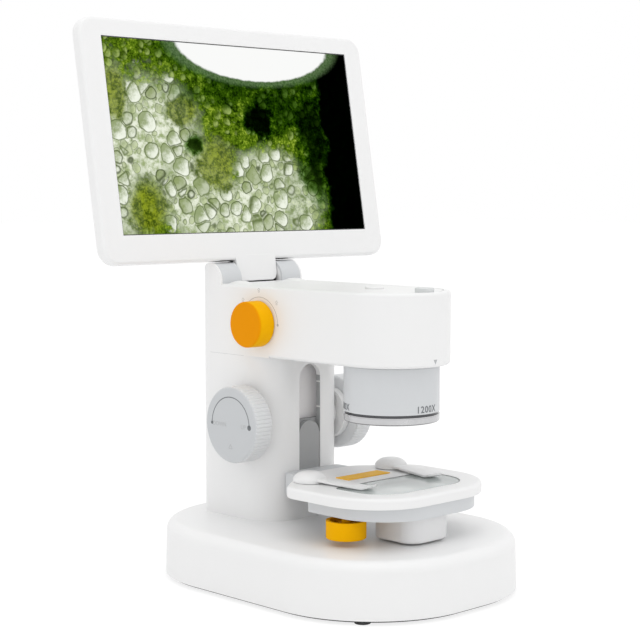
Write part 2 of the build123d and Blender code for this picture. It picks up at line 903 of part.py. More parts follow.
# ---- turret ---------------------------------------------------------------------------------
def turret_shell():
    """Revolving drum that hangs on the head's spigot by its inner collar."""
    y = head_nose_y
    shell = tube(0, y, turret_body_bottom, turret_top, turret_r, turret_r - turret_wall)
    collar_low = spigot_bottom + 0.2
    shell += tube(0, y, collar_low, turret_top, turret_r - turret_wall, spigot_r + run_gap)
    bore = turret_r - turret_wall
    shell += tube(0, y, turret_body_bottom, turret_body_bottom + turret_ledge, bore, bore - turret_ledge_width)
    top = shell.edges().filter_by(GeomType.CIRCLE).group_by(Axis.Z)[-1].sort_by(SortBy.RADIUS)[-1]
    return fillet(top, 0.5)


def turret_retainer():
    """Ring under the spigot that carries the drum."""
    r = spigot_r + retainer_overhang
    return tube(0, head_nose_y, spigot_bottom - retainer_thickness, spigot_bottom, r, spigot_r - spigot_wall)


def turret_band():
    """Dark groove ring between the drum and its lip."""
    y = head_nose_y
    bore = turret_r - turret_wall - turret_ledge_width
    return tube(0, y, turret_band_bottom, turret_body_bottom, turret_r - turret_band_inset, bore)


def turret_lip():
    y = head_nose_y
    lip = tube(0, y, turret_bottom, turret_band_bottom, turret_r, turret_r - turret_wall)
    bottom = lip.edges().filter_by(GeomType.CIRCLE).group_by(Axis.Z)[0].sort_by(SortBy.RADIUS)[-1]
    return fillet(bottom, 0.8)


def objective_places():
    """Centres of the three objectives, the working one in front."""
    turns = [radians(120 * i) for i in range(3)]
    return [(barrel_offset * sin(a), head_nose_y - barrel_offset * cos(a)) for a in turns]


def objective_plate():
    y = head_nose_y
    z1 = turret_band_bottom
    plate = rod(0, y, z1 - objective_plate_thickness, z1, turret_r - turret_wall - seat_gap)
    for x, yy in objective_places():
        plate -= rod(x, yy, turret_bottom, z1, barrel_r + seat_gap)
    return plate


def objective_barrels():
    barrels = []
    low = turret_bottom + barrel_recess
    for (x, y), length in zip(objective_places(), barrel_lengths):
        barrel = tube(x, y, low, low + length, barrel_r, lens_r)
        barrel -= rod(x, y, low, low + lens_thickness + 0.4, lens_r + 0.6)
        barrels.append(barrel)
    return barrels


def objective_lenses():
    low = turret_bottom + barrel_recess + 0.4
    return [rod(x, y, low, low + lens_thickness, lens_r + 0.6 - seat_gap) for x, y in objective_places()]


# ---- stage ------------------------------------------------------------------------------------
def stage_outline(z0, z1):
    half = [(stage_back_half_width, stage_back), (stage_half_width, stage_shoulder_y)]
    half += [(stage_half_width, stage_front)]
    points = half + [(-x, y) for x, y in reversed(half)]
    shape = prism(points, z0, z1)
    shape = fillet(upright_edges(shape, stage_front - 1, stage_front + 1), stage_front_r)
    return fillet(upright_edges(shape, stage_shoulder_y - 1, stage_back + 1), stage_shoulder_r)


def round_nosed(x, y0, y1, front_r, back_r, z0, z1):
    """Slab between -x and x with wide round front corners and small rear ones."""
    shape = block(-x, x, y0, y1, z0, z1)
    shape = fillet(upright_edges(shape, y0 - 1, y0 + 1), front_r)
    return fillet(upright_edges(shape, y1 - 1, y1 + 1), back_r)


def glass_outline(grow, z0, z1):
    g = grow
    x = glass_half_width + g
    return round_nosed(x, glass_front - g, glass_back + g, glass_front_r + g, glass_back_r + g, z0, z1)


def tray_outline(inset, z0, z1):
    i = inset
    x = tray_half_width - i
    return round_nosed(x, tray_front + i, tray_back - i, tray_front_r - i, tray_back_r - i, z0, z1)


def stage_plate():
    plate = stage_outline(stage_bottom, stage_top)
    plate = fillet(plate.edges().group_by(Axis.Z)[-1], stage_top_fillet)
    plate -= glass_outline(seat_gap * 5, stage_top - glass_thickness - glass_recess, stage_top)
    plate -= glass_outline(-glass_ledge, stage_bottom, stage_top)
    for x, y in clip_places:
        plate -= rod(x, y, stage_bottom, stage_top, clip_pivot_r + seat_gap)
    return plate


def stage_glass():
    z1 = stage_top - glass_recess
    return glass_outline(0, z1 - glass_thickness, z1)


def stage_label():
    w = label_half_width
    return block(label_x - w, label_x + w, label_front, label_back, stage_top, stage_top + label_thickness)


def stage_tray():
    """Shallow tray under the plate for the lamp and the dimmer."""
    tray = tray_outline(0, tray_bottom, stage_bottom) - tray_outline(tray_wall, tray_floor, stage_bottom)
    tray -= rod(wheel_x, wheel_y, tray_bottom, tray_floor, wheel_stem_r + run_gap)
    tray -= rod(0, optical_y, tray_bottom, tray_floor, diffuser_r)
    return tray


def light_panel():
    """Grey plate below the glass with a hole for the lamp's disc."""
    z1 = stage_top - glass_recess - glass_thickness - panel_groove
    panel = glass_outline(-glass_ledge - button_gap, z1 - light_panel_thickness, z1)
    panel -= rod(0, optical_y, z1 - light_panel_thickness, z1, diffuser_r + seat_gap)
    for x in (-20.0, 20.0):
        panel += rod(x, lamp_y, tray_floor, z1 - light_panel_thickness, 2.0)
    return panel


def diffuser():
    z1 = stage_top - glass_recess - glass_thickness - 0.3
    return rod(0, optical_y, tray_bottom, z1, diffuser_r - seat_gap)


def lamp_housing():
    x0, x1 = lamp_x - lamp_half_width, lamp_x + lamp_half_width
    y0, y1 = lamp_y - lamp_half_width, lamp_y + lamp_half_width
    t = lamp_wall
    low = tray_bottom - lamp_height
    shape = slab(x0, x1, y0, y1, lamp_corner_r, low, tray_bottom)
    shape = fillet(shape.edges().group_by(Axis.Z)[0], 1.2)
    return shape - slab(x0 + t, x1 - t, y0 + t, y1 - t, lamp_corner_r - t, low + t, tray_bottom)


def lamp_board():
    """Lamp's round board on its post, with the light source on top."""
    low = tray_bottom - lamp_height + lamp_wall
    post = rod(0, optical_y, low, low + 3.0, 3.0)
    board = rod(0, optical_y, low + 3.0, low + 3.0 + board_thickness, 4.0)
    emitter = rod(0, optical_y, low + 3.0 + board_thickness, low + 4.4 + board_thickness, 2.5)
    return [post, board, emitter]


def stage_bracket():
    """Arm from the stage through the slot to the carriage."""
    w = bracket_half_width
    bracket = block(-w, w, stage_back + 0.1, bracket_back, tray_bottom, bracket_top)
    bracket += block(-w, w, tray_back, stage_back + 0.1, tray_floor, stage_bottom)
    bracket = fillet(upright_edges(bracket, bracket_back - 0.1, bracket_back + 0.1), 2.0)
    neck = block(-slider_half_width, slider_half_width, bracket_back - 1, carriage_front_y, neck_bottom, bracket_top)
    return bracket + neck


def slider_cover():
    """Grey shutter that travels in the slot above the bracket."""
    w = slider_half_width
    y0 = column_front + slider_recess
    y1 = carriage_front_y
    return block(-w, w, y0, y1, bracket_top, slider_top - w) + rod_y_axis(0, y0, y1, slider_top - w, w)


def stage_carriage():
    """Fork that straddles the focus shaft and runs on the rods."""
    low = carriage_block_bottom
    high = low + carriage_block_height
    w = carriage_plate_half_width
    front = block(-w, w, carriage_front_y, carriage_inner_y, low, slider_top + slider_plate_rise)
    base = block(-carriage_half_width, carriage_half_width, carriage_inner_y, rear_plate_back, low, high)
    rear = block(-carriage_half_width, carriage_half_width, rear_plate_front, rear_plate_back, high, rack_top)
    carriage = front + base + rear
    groove = rack_half_width + seat_gap
    carriage -= block(-groove, groove, rear_plate_front, rack_back_y, rack_bottom, rack_top)
    for x in (-guide_rod_x, guide_rod_x):
        carriage -= rod(x, rod_y, low, rack_top, rod_r + 0.3)
        carriage -= rod(x, rod_y, low, low + 6, rod_r + 1.2 + seat_gap)
        carriage -= rod(x, rod_y, rack_top - 6, rack_top, rod_r + 1.2 + seat_gap)
    return carriage


def carriage_bushes():
    bushes = []
    for x in (-guide_rod_x, guide_rod_x):
        for z in (carriage_block_bottom, rack_top - 6):
            bushes.append(tube(x, rod_y, z, z + 6, rod_r + 1.2, rod_r + run_gap))
    return bushes


def rack_half_tooth(depth):
    """Half the thickness of a rack tooth, depth beyond its pitch line."""
    return (tooth_pitch / 2 - tooth_backlash) / 2 - depth * tan(radians(pressure_deg))


def focus_rack():
    """Straight-sided teeth that face forward, in step with the pinion."""
    tip = rack_half_tooth(rack_pitch_y - rack_tip_y)
    root = rack_half_tooth(rack_pitch_y - rack_root_y)
    points = [(rack_back_y, rack_bottom), (rack_root_y, rack_bottom)]
    count = int(stage_travel / tooth_pitch) + 6
    for i in range(-count, count):
        z = shaft_z + (i + 0.5) * tooth_pitch
        if rack_bottom + root < z < rack_top - root:
            points += [(rack_root_y, z - root), (rack_tip_y, z - tip)]
            points += [(rack_tip_y, z + tip), (rack_root_y, z + root)]
    points += [(rack_root_y, rack_top), (rack_back_y, rack_top)]
    return prism_x(points, -rack_half_width, rack_half_width)


def clip_pins():
    """Pins that the two clips turn on."""
    top = stage_top + clip_float + clip_height - clip_cap
    return [rod(x, y, stage_bottom, top, clip_pivot_r) for x, y in clip_places]


def clip(side):
    """Spring clip: a round hub and a flat arm with a turned-up tip."""
    x = side * clip_x
    low = stage_top + clip_float
    high = stage_top + clip_height + clip_float
    hub = rod(x, clip_y, low, high, clip_boss_r)
    hub = fillet(hub.edges().group_by(Axis.Z)[-1], 1.2)
    dx = side * clip_tip_x - x
    dy = clip_tip_y - clip_y
    length = sqrt(dx * dx + dy * dy)
    turn = degrees(acos(-dy / length)) * (1 if dx > 0 else -1)
    half = clip_arm_width / 2
    arm = block(-half, half, -length, 0, low, low + clip_arm_thickness)
    arm += rod_x(-half, half, -length, low + clip_arm_thickness * 0.75, clip_arm_thickness * 0.75)
    shape = hub + Pos(x, clip_y, 0) * Rot(0, 0, turn) * arm
    return shape - rod(x, clip_y, low, high - clip_cap + run_gap, clip_pivot_r + run_gap)


def brightness_wheel():
    """Cup-shaped thumb wheel under the tray, on its own stem."""
    low = wheel_top - wheel_height
    wheel = rod(wheel_x, wheel_y, low, wheel_top, wheel_r)
    wheel = fillet(wheel.edges().group_by(Axis.Z)[0], 0.7)
    wheel -= rod(wheel_x, wheel_y, low + wheel_floor, wheel_top, wheel_r - wheel_wall)
    wheel += rod(wheel_x, wheel_y, low + wheel_floor, wheel_top - 1, wheel_stem_r + 1.8)
    return wheel + rod(wheel_x, wheel_y, wheel_top - 1, tray_floor + 2.6, wheel_stem_r)


def brightness_pot():
    """Small potentiometer that turns with the wheel's stem."""
    body = block(wheel_x - 4.5, wheel_x + 4.5, wheel_y - 4.5, wheel_y + 4.5, tray_floor, stage_bottom - 0.2)
    return body - rod(wheel_x, wheel_y, tray_floor, tray_floor + 2.8, wheel_stem_r + run_gap)


# ---- focus shaft -----------------------------------------------------------------------------
def focus_shaft():
    reach = knob_outer_x - 2.5
    return rod_x(-reach, reach, shaft_y, shaft_z, shaft_r)


def involute(angle):
    return tan(angle) - angle


def pinion_tooth(points_per_side=5):
    """One tooth as (radius, angle) pairs, its middle at angle zero."""
    base_r = pitch_r * cos(radians(pressure_deg))
    root_r = pitch_r - gear_module - tooth_root_gap
    tip_r = pitch_r + gear_module - seat_gap
    half_pitch = (tooth_pitch / 2 - tooth_backlash) / 2 / pitch_r + involute(radians(pressure_deg))
    side = [(root_r, half_pitch - involute(0.0))]
    for i in range(points_per_side):
        r = base_r + (tip_r - base_r) * i / (points_per_side - 1)
        side.append((r, half_pitch - involute(acos(min(1.0, base_r / r)))))
    return [(r, -a) for r, a in side] + [(r, a) for r, a in reversed(side)]


def pinion():
    tooth = pinion_tooth()
    points = []
    for i in range(pinion_teeth):
        turn = 2 * pi * i / pinion_teeth
        points += [(shaft_y + r * cos(a + turn), shaft_z + r * sin(a + turn)) for r, a in tooth]
    gear = prism_x(points, -pinion_half_width, pinion_half_width)
    hub = tube_x(pinion_half_width, pinion_half_width + 4, shaft_y, shaft_z, pitch_r + 0.8, shaft_r + seat_gap)
    return gear - rod_x(-pinion_half_width, pinion_half_width, shaft_y, shaft_z, shaft_r + seat_gap) + hub


def focus_knob(side):
    knob = rod_x(knob_inner_x, knob_outer_x, shaft_y, shaft_z, knob_r)
    outer = knob.edges().group_by(Axis.X)[-1]
    knob = fillet(outer, 0.7)
    for i in range(knob_rib_count):
        a = 2 * pi * i / knob_rib_count
        y = shaft_y + (knob_r + knob_rib_r * 0.3) * cos(a)
        z = shaft_z + (knob_r + knob_rib_r * 0.3) * sin(a)
        knob -= rod_x(knob_inner_x + 1.2, knob_outer_x - 1.2, y, z, knob_rib_r)
    knob -= rod_x(knob_inner_x, knob_outer_x - 2.5, shaft_y, shaft_z, shaft_r + seat_gap)
    return knob if side > 0 else mirror(knob, Plane.YZ)


# ---- screen, drawn upright round the hinge axis and then tilted back --------------------------
def tilt(shapes):
    place = Pos(0, hinge_y, hinge_z) * Rot(-screen_tilt_deg, 0, 0)
    return [place * s for s in shapes]


def screen_outline(inset, y0, y1):
    w = screen_half_width - inset
    r = screen_corner_r - inset * 0.8
    return slab_y(-w, w, screen_bottom + inset, screen_top - inset, r, y0, y1)


def lcd_outline(grow, y0, y1):
    w = lcd_width / 2 + grow
    z = display_above_hinge - lcd_drop
    return block(-w, w, y0, y1, z - lcd_height / 2 - grow, z + lcd_height / 2 + grow)


def screen_bezel():
    bezel = screen_outline(0, screen_front, bezel_back)
    bezel = fillet(bezel.edges().group_by(Axis.Y)[0], screen_front_fillet)
    w = display_width / 2 + bezel_border
    h = display_height / 2 + bezel_border
    bezel -= block(-w, w, screen_front, lcd_front, display_above_hinge - h, display_above_hinge + h)
    bezel -= lcd_outline(0.1, lcd_front, bezel_back)
    n = neck_half_width
    neck = block(-n, n, screen_front, bezel_back, 0, screen_bottom + 0.2)
    low_edges = neck.edges().filter_by(Axis.Y).group_by(Axis.Z)[0]
    neck = fillet(low_edges, neck_corner_r)
    neck -= block(-n, n, screen_front, screen_front + screen_front_fillet, screen_bottom, screen_bottom + 1)
    neck -= rod_x(-n, n, 0, 0, hinge_barrel_r + seat_gap)
    return tilt([bezel + neck])


def screen_rear_cover():
    """Thin-walled back with a raised housing for the electronics."""
    def bulge(inset, y0, y1):
        w = bulge_half_width - inset
        r = bulge_corner_r - inset
        return slab_y(-w, w, bulge_bottom + inset, bulge_top - inset, r, y0, y1, bulge_taper_deg)
    cover = screen_outline(0, bezel_back, rim_back)
    cover = fillet(cover.edges().group_by(Axis.Y)[-1], 1.2)
    cover += bulge(0, rim_back, bulge_back)
    cover -= screen_outline(screen_wall, bezel_back, rim_back - rear_wall)
    cover -= bulge(screen_wall, rim_back - rear_wall, bulge_back - rear_wall)
    notch = hinge_plate_half_width + 0.1
    cover -= block(-notch, notch, bezel_back, hinge_plate_back + 0.05, 0, screen_bottom + screen_wall)
    n = neck_half_width
    cover += block(-n, n, hinge_plate_back + 0.05, rim_back, hinge_barrel_r * 0.8, screen_bottom + 1.2)
    cover -= rod_x(-n, n, 0, 0, hinge_barrel_r + seat_gap)
    for x, z in screen_board_posts:
        cover += rod_y_axis(x, driver_board_back, bulge_back - rear_wall, z, 2.4)
    return tilt([cover])


def lcd_panel():
    return tilt([lcd_outline(0, lcd_front, lcd_back)])


def driver_board():
    y0 = driver_board_back - board_thickness
    y1 = driver_board_back
    w = driver_board_half_width
    board = block(-w, w, y0, y1, driver_board_low, driver_board_high)
    chip_low = (driver_board_low + driver_board_high - driver_chip_side) / 2
    chip = block(0, driver_chip_side, y1, y1 + driver_chip_height, chip_low, chip_low + driver_chip_side)
    plug_low = driver_board_low + connector_rise
    x0 = w - driver_post_inset - connector_width - connector_depth
    connector = block(x0, x0 + connector_width, y1, y1 + connector_height, plug_low, plug_low + connector_depth)
    return tilt([board, chip, connector])


def hinge_bracket():
    """Barrel on the pin, with a flat plate that carries the screen."""
    w = hinge_plate_half_width
    barrel = rod_x(-barrel_half_width, barrel_half_width, 0, 0, hinge_barrel_r)
    for i in range(barrel_grooves):
        x = (i - (barrel_grooves - 1) / 2) * groove_pitch
        x0, x1 = x - groove_width / 2, x + groove_width / 2
        barrel -= tube_x(x0, x1, 0, 0, hinge_barrel_r, hinge_barrel_r - groove_depth)
    barrel += block(-w, w, hinge_plate_front, hinge_plate_back, hinge_barrel_r * 0.75, hinge_plate_top)
    return tilt([barrel - rod_x(-barrel_half_width, barrel_half_width, 0, 0, pin_r + run_gap)])


PIECES = {
    "base_shell": base_shell,
    "base_plate": base_plate,
    "ballast_plate": ballast_plate,
    "rubber_feet": rubber_feet,
    "battery_pack": battery_pack,
    "column_shell": column_shell,
    "column_back_cover": column_back_cover,
    "housing_screws": housing_screws,
    "slot_liner": slot_liner,
    "guide_rods": guide_rods,
    "power_board": power_board,
    "rear_ports": rear_ports,
    "shaft_bushes": shaft_bushes,
    "head_shell": head_shell,
    "ear_covers": ear_covers,
    "head_lower_cover": head_lower_cover,
    "head_top_panel": head_top_panel,
    "hinge_pin": hinge_pin,
    "main_board": main_board,
    "sensor_board": sensor_board,
    "camera_tube": camera_tube,
    "selector_switch": selector_switch,
    "button_board": button_board,
    "turret_retainer": turret_retainer,
    "selector_knob": selector_knob,
    "front_button": lambda: push_button(front_button_y, front_button_rise),
    "rear_button": lambda: push_button(rear_button_y, rear_button_rise),
    "turret_shell": turret_shell,
    "turret_band": turret_band,
    "turret_lip": turret_lip,
    "objective_plate": objective_plate,
    "objective_barrels": objective_barrels,
    "objective_lenses": objective_lenses,
    "stage_plate": stage_plate,
    "stage_glass": stage_glass,
    "stage_label": stage_label,
    "stage_tray": stage_tray,
    "light_panel": light_panel,
    "diffuser": diffuser,
    "lamp_housing": lamp_housing,
    "lamp_board": lamp_board,
    "stage_bracket": stage_bracket,
    "slider_cover": slider_cover,
    "stage_carriage": stage_carriage,
    "carriage_bushes": carriage_bushes,
    "focus_rack": focus_rack,
    "clip_pins": clip_pins,
    "brightness_pot": brightness_pot,
    "brightness_wheel": brightness_wheel,
    "clip_left": lambda: clip(-1),
    "clip_right": lambda: clip(1),
    "focus_shaft": focus_shaft,
    "focus_pinion": pinion,
    "focus_knob_left": lambda: focus_knob(-1),
    "focus_knob_right": lambda: focus_knob(1),
    "screen_bezel": screen_bezel,
    "screen_rear_cover": screen_rear_cover,
    "lcd_panel": lcd_panel,
    "driver_board": driver_board,
    "hinge_bracket": hinge_bracket,
}

os.makedirs("parts", exist_ok=True)
for name, make in PIECES.items():
    made = make()
    solids = made if isinstance(made, list) else [made]
    shape = solids[0] if len(solids) == 1 else Compound(children=solids)
    export_step(shape, f"parts/{name}.step")
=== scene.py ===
"""Desk microscope with a tilting screen: its finishes, printed marks and fine pieces."""

import json
from math import cos, pi, radians, sin

import bmesh
import bpy
import numpy as np
from bpy.props import FloatProperty, FloatVectorProperty, IntProperty, PointerProperty, StringProperty
from mathutils import Euler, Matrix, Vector


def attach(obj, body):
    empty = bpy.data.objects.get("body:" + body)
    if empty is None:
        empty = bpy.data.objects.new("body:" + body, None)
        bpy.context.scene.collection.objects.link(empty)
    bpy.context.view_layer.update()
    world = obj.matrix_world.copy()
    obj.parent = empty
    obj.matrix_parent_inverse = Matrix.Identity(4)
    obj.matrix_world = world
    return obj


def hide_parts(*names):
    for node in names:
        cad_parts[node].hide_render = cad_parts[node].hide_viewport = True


bl_info = {
    "name": "Desk Microscope Finisher",
    "version": (1, 0, 0),
    "blender": (4, 5, 0),
    "location": "3D View > Sidebar > Microscope",
    "description": "Dresses the packed desk microscope with its finishes, marks and fine pieces",
    "category": "Object",
}

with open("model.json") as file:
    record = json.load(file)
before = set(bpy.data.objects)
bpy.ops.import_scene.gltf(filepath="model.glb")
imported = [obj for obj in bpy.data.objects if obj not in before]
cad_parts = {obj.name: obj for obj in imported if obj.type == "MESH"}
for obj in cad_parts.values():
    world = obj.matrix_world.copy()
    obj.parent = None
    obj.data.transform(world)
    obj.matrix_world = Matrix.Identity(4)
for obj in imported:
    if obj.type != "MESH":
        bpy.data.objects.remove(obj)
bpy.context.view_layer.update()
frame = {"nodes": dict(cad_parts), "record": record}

MM = 0.001

# Places and sizes shared with the solids, in metres, and the shown tilt in radians.
SHAFT = np.array([0.0, 31.3, 72.1]) * MM
SELECTOR = np.array([-26.1, 24.4, 118.2]) * MM
DRUM_AXIS_Y = -33.8 * MM
DRUM_RADIUS = 21.2 * MM
# Half the head's width, which is also the radius of its round front.
HEAD_HALF_WIDTH = 25.8 * MM
HEAD_TOP = 135.17 * MM
HINGE = np.array([0.0, 59.1, 136.5]) * MM
SCREEN_TILT = radians(9.68)
DISPLAY_OUT = 4.57 * MM
BEZEL_OUT = 5.12 * MM
STAGE_TOP = 49.9 * MM
CLIP_PIVOT = np.array([26.2, -9.0]) * MM
# Rounded rectangles as half width, low edge, high edge, radius of the low corners, radius of the high corners.
PANE = np.array([29.8, -56.8, -27.0, 16.0, 4.0]) * MM
TONGUE = np.array([12.45, -1.7, 10.9, 3.6, 0.4]) * MM

# The camera's place in metres, its turn and its dip in radians, and its sensor's width in mm.
EYE = (-0.5141, -0.51767, 0.18069)
EYE_TURN = radians(-44.17)
EYE_DOWN = radians(4.77)
SENSOR = 36.0


# ---- settings ----
def colour(name, description, default):
    """A colour setting with its own swatch."""
    return FloatVectorProperty(
        name=name, description=description, default=default, subtype="COLOR", size=3, min=0.0, max=1.0
    )


def length(name, description, default):
    """A length setting in metres."""
    return FloatProperty(
        name=name, description=description, default=default, unit="LENGTH", min=0.0, precision=5
    )


def power(name, description, default):
    """A lamp's power in watts."""
    return FloatProperty(name=name, description=description, default=default, unit="POWER", min=0.0)


class CasingSettings(bpy.types.PropertyGroup):
    """Colours of the mouldings and inks, and the grain"""

    white: colour("White", "Main mouldings", (0.84, 0.84, 0.84))
    light_grey: colour("Light grey", "Drum and tray", (0.62, 0.635, 0.65))
    mid_grey: colour("Mid grey", "Shutter and the slot's dark wall", (0.36, 0.365, 0.37))
    # Knob face is a darker grey as painted shade on the knob's face, and knob rim a lighter grey as painted light
    # against the shade between the ribs.
    knob_face: colour("Knob face", "Flat face of a focus knob", (0.55, 0.565, 0.58))
    knob_rim: colour("Knob rim", "Ribbed rim of a focus knob", (0.74, 0.75, 0.76))
    # Orange rim is the dimmer wheel's own colour; on the selector it is painted light, the lighter, yellower lit
    # side of the rim.
    orange: colour("Orange", "Face of the selector", (0.80, 0.29, 0.0))
    orange_rim: colour("Orange rim", "Rim of the selector, and the dimmer wheel", (0.90, 0.45, 0.0))
    label: colour("Label", "Film behind the stage pane", (0.93, 0.52, 0.04))
    black: colour("Black", "Inner mouldings", (0.02, 0.02, 0.022))
    ink: colour("Ink", "Printed marks", (0.16, 0.17, 0.18))
    pale_ink: colour("Pale ink", "Faint marks and seams", (0.45, 0.46, 0.47))
    grain: length("Grain", "Size of the moulded grain", 0.00035)


class ScreenSettings(bpy.types.PropertyGroup):
    """Sizes of the display"""

    width: length("Width", "Lit width of the display", 0.1536)
    height: length("Height", "Lit height of the display", 0.0900)
    centre_height: length("Centre", "Display centre above the hinge along the screen", 0.06689)
    line_width: length("Line", "Black line round the display", 0.00035)
    border: length("Border", "Bezel opening beyond the lit display", 0.0012)
    cell: length("Cell", "Typical cell on the displayed picture", 0.0086)


class KnobsSettings(bpy.types.PropertyGroup):
    """Sizes of a focus knob and its printed arc"""

    radius: length("Radius", "Outer radius of a focus knob", 0.01762)
    inner_x: length("Inner face", "Inner face from the middle plane", 0.0273)
    outer_x: length("Outer face", "Outer face from the middle plane", 0.03766)
    ribs: IntProperty(name="Ribs", description="Ribs round the rim", default=60, min=8)
    rib_depth: length("Rib depth", "Depth between two ribs", 0.00032)
    arc_radius: length("Arc radius", "Radius of the printed arc", 0.0128)
    line: length("Line", "Width of the printed arc", 0.00042)


class SelectorSettings(bpy.types.PropertyGroup):
    """Sizes of the selector knob and the marks round it"""

    radius: length("Radius", "Outer radius of the selector", 0.0105)
    depth: length("Depth", "Back to face of the selector", 0.0088)
    arc_radius: length("Arc radius", "Radius of the printed arc", 0.0121)
    sign_radius: length("Sign radius", "Axle to the middle of a sign", 0.0152)
    line: length("Line", "Width of the printed arc", 0.00026)


class DrumSettings(bpy.types.PropertyGroup):
    """Numbers round the revolving drum"""

    text_height: length("Text height", "Height of the numbers on the drum", 0.0030)
    text_z: length("Text level", "Bottom of the numbers above the table", 0.0830)
    front_text: StringProperty(name="Front", description="Number at the front", default="1200X")
    left_text: StringProperty(name="Left", description="Number at the left rear", default="300X")
    right_text: StringProperty(name="Right", description="Number at the right rear", default="60X")


class StageSettings(bpy.types.PropertyGroup):
    """Sizes of a spring clip"""

    clip_width: length("Clip width", "Width of a clip's arm", 0.0080)
    clip_sheet: length("Clip sheet", "Thickness of a clip's arm", 0.0009)
    clip_length: length("Clip length", "Pivot to tip", 0.0330)
    hub_radius: length("Hub radius", "Radius of a clip's hub", 0.0076)
    hub_height: length("Hub height", "Underside of a clip's arm to the top of its hub", 0.0045)


class StudioSettings(bpy.types.PropertyGroup):
    """Floor, light and lens"""

    floor: colour("Floor", "Floor colour", (0.96, 0.96, 0.96))
    sky: FloatProperty(name="Sky", description="Strength of the even light", default=0.89, min=0.0)
    key: power("Key", "Power of the main lamp", 1.1)
    fill: power("Fill", "Power of the fill lamps", 0.9)
    top: power("Top", "Power of the overhead lamp", 5.4)
    lens: FloatProperty(name="Lens", description="Camera focal length in mm", default=90.49, min=1.0)


# ---- shapes ----
# Points nearer than MERGE become one, and INK is half the thickness of a printed mark.
MERGE = 1e-7
INK = 0.03 * MM
Z_AXIS = (0, 0, 1)
X_AXIS = (1, 0, 0)


def grid_faces(rows, cols, wrap_rows=False, wrap_cols=False):
    """Quads (i, j), (i+1, j), (i+1, j+1), (i, j+1) over a grid, closed on itself where it wraps."""
    last_row, last_col = rows - (not wrap_rows), cols - (not wrap_cols)
    i, j = np.meshgrid(np.arange(last_row), np.arange(last_col), indexing="ij")
    i2, j2 = (i + 1) % rows, (j + 1) % cols
    return np.stack([i * cols + j, i2 * cols + j, i2 * cols + j2, i * cols + j2], -1).reshape(-1, 4)


def mesh_from(name, points, faces):
    """Mesh of the points and faces, with doubles merged and its faces turned outwards."""
    mesh = bpy.data.meshes.new(name)
    mesh.from_pydata(points.reshape(-1, 3), [], faces.tolist())
    work = bmesh.new()
    work.from_mesh(mesh)
    bmesh.ops.remove_doubles(work, verts=work.verts, dist=MERGE)
    bmesh.ops.recalc_face_normals(work, faces=work.faces)
    work.to_mesh(mesh)
    work.free()
    return mesh


def place(mesh, body, material, smooth=True, replaced=()):
    """Object at the origin with a mesh and its name, riding on its body."""
    piece = bpy.data.objects.new(mesh.name, mesh)
    bpy.context.scene.collection.objects.link(piece)
    mesh.materials.clear()
    mesh.materials.append(bpy.data.materials[material])
    mesh.polygons.foreach_set("use_smooth", np.full(len(mesh.polygons), smooth))
    mesh.update()
    if replaced:
        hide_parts(*replaced)
    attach(piece, body)
    return piece


def mark(mesh, body, ink):
    """Printed mark in an ink."""
    place(mesh, body, ink, smooth=False)


def rounded_profile(corners, steps=5):
    """(along, radius) points with each corner (along, radius, round) cut back and joined by a quadratic arc
    P(t) = (1-t)^2 A + 2t(1-t) C + t^2 B, where A and B lie round away from the corner C."""
    corners = np.array(corners, float)
    points = [corners[0, :2]]
    for before, here, after in zip(corners[:-2], corners[1:-1], corners[2:]):
        size = here[2]
        if size <= 0:
            points.append(here[:2])
            continue
        a = here[:2] + size * (before[:2] - here[:2]) / np.linalg.norm(before[:2] - here[:2])
        b = here[:2] + size * (after[:2] - here[:2]) / np.linalg.norm(after[:2] - here[:2])
        t = np.linspace(0, 1, steps)[:, None]
        points.extend((1 - t) ** 2 * a + 2 * t * (1 - t) * here[:2] + t**2 * b)
    points.append(corners[-1, :2])
    return np.array(points)


def turned(profile, centre, axis, segments, ripple=None):
    """Surface of revolution: point = centre + along * axis + radius * (cos v * side + sin v * up).
    ripple(v, radius) gives the radius in place of the plain one."""
    axis = np.array(axis, float)
    side = np.array([0.0, 1.0, 0.0]) if abs(axis[0]) > 0.5 else np.array([1.0, 0.0, 0.0])
    up = np.cross(axis, side)
    v = np.linspace(0, 2 * pi, segments, endpoint=False)[None, :]
    along, radius = profile[:, :1], profile[:, 1:2]
    r = radius * np.ones_like(v) if ripple is None else ripple(v, radius)
    points = (
        np.array(centre)
        + along[..., None] * axis
        + r[..., None] * (np.cos(v)[..., None] * side + np.sin(v)[..., None] * up)
    )
    return points, grid_faces(len(profile), segments, wrap_cols=True)


def ribbon(line, width_dir, width, thickness, lift_dir):
    """Closed band of rectangular section along a line: corner = line +- width/2 * w +- thickness/2 * n."""
    line = np.array(line, float)
    w = np.broadcast_to(np.array(width_dir, float), line.shape) * (np.array(width)[..., None] / 2)
    n = np.broadcast_to(np.array(lift_dir, float), line.shape) * thickness / 2
    rings = np.stack([line - w - n, line + w - n, line + w + n, line - w + n], 1)
    count = len(line)
    faces = grid_faces(count, 4, wrap_cols=True)
    last = 4 * count - 4
    ends = np.array([[3, 2, 1, 0], [last, last + 1, last + 2, last + 3]])
    return rings.reshape(-1, 3), np.concatenate([faces, ends])


def printed_text(name, words, size, spread):
    """Mesh of the words, centred, with a thin body; spread is the line's letter spacing."""
    boldness = 0.014
    curve = bpy.data.curves.new(name, "FONT")
    curve.body = words
    curve.size = size
    curve.space_character = spread
    curve.align_x = "CENTER"
    curve.extrude = INK
    curve.offset = boldness * size
    curve.resolution_u = 3
    holder = bpy.data.objects.new(name + "_line", curve)
    bpy.context.scene.collection.objects.link(holder)
    bpy.context.view_layer.update()
    mesh = bpy.data.meshes.new_from_object(holder)
    bpy.data.objects.remove(holder)
    bpy.data.curves.remove(curve)
    mesh.name = name
    return mesh


def reshape(mesh, rule):
    """Moves all the mesh's points at once through rule(x, y, z) -> points."""
    co = np.empty(len(mesh.vertices) * 3)
    mesh.vertices.foreach_get("co", co)
    co = co.reshape(-1, 3)
    mesh.vertices.foreach_set("co", rule(co[:, 0], co[:, 1], co[:, 2]).ravel())
    mesh.update()
    return mesh


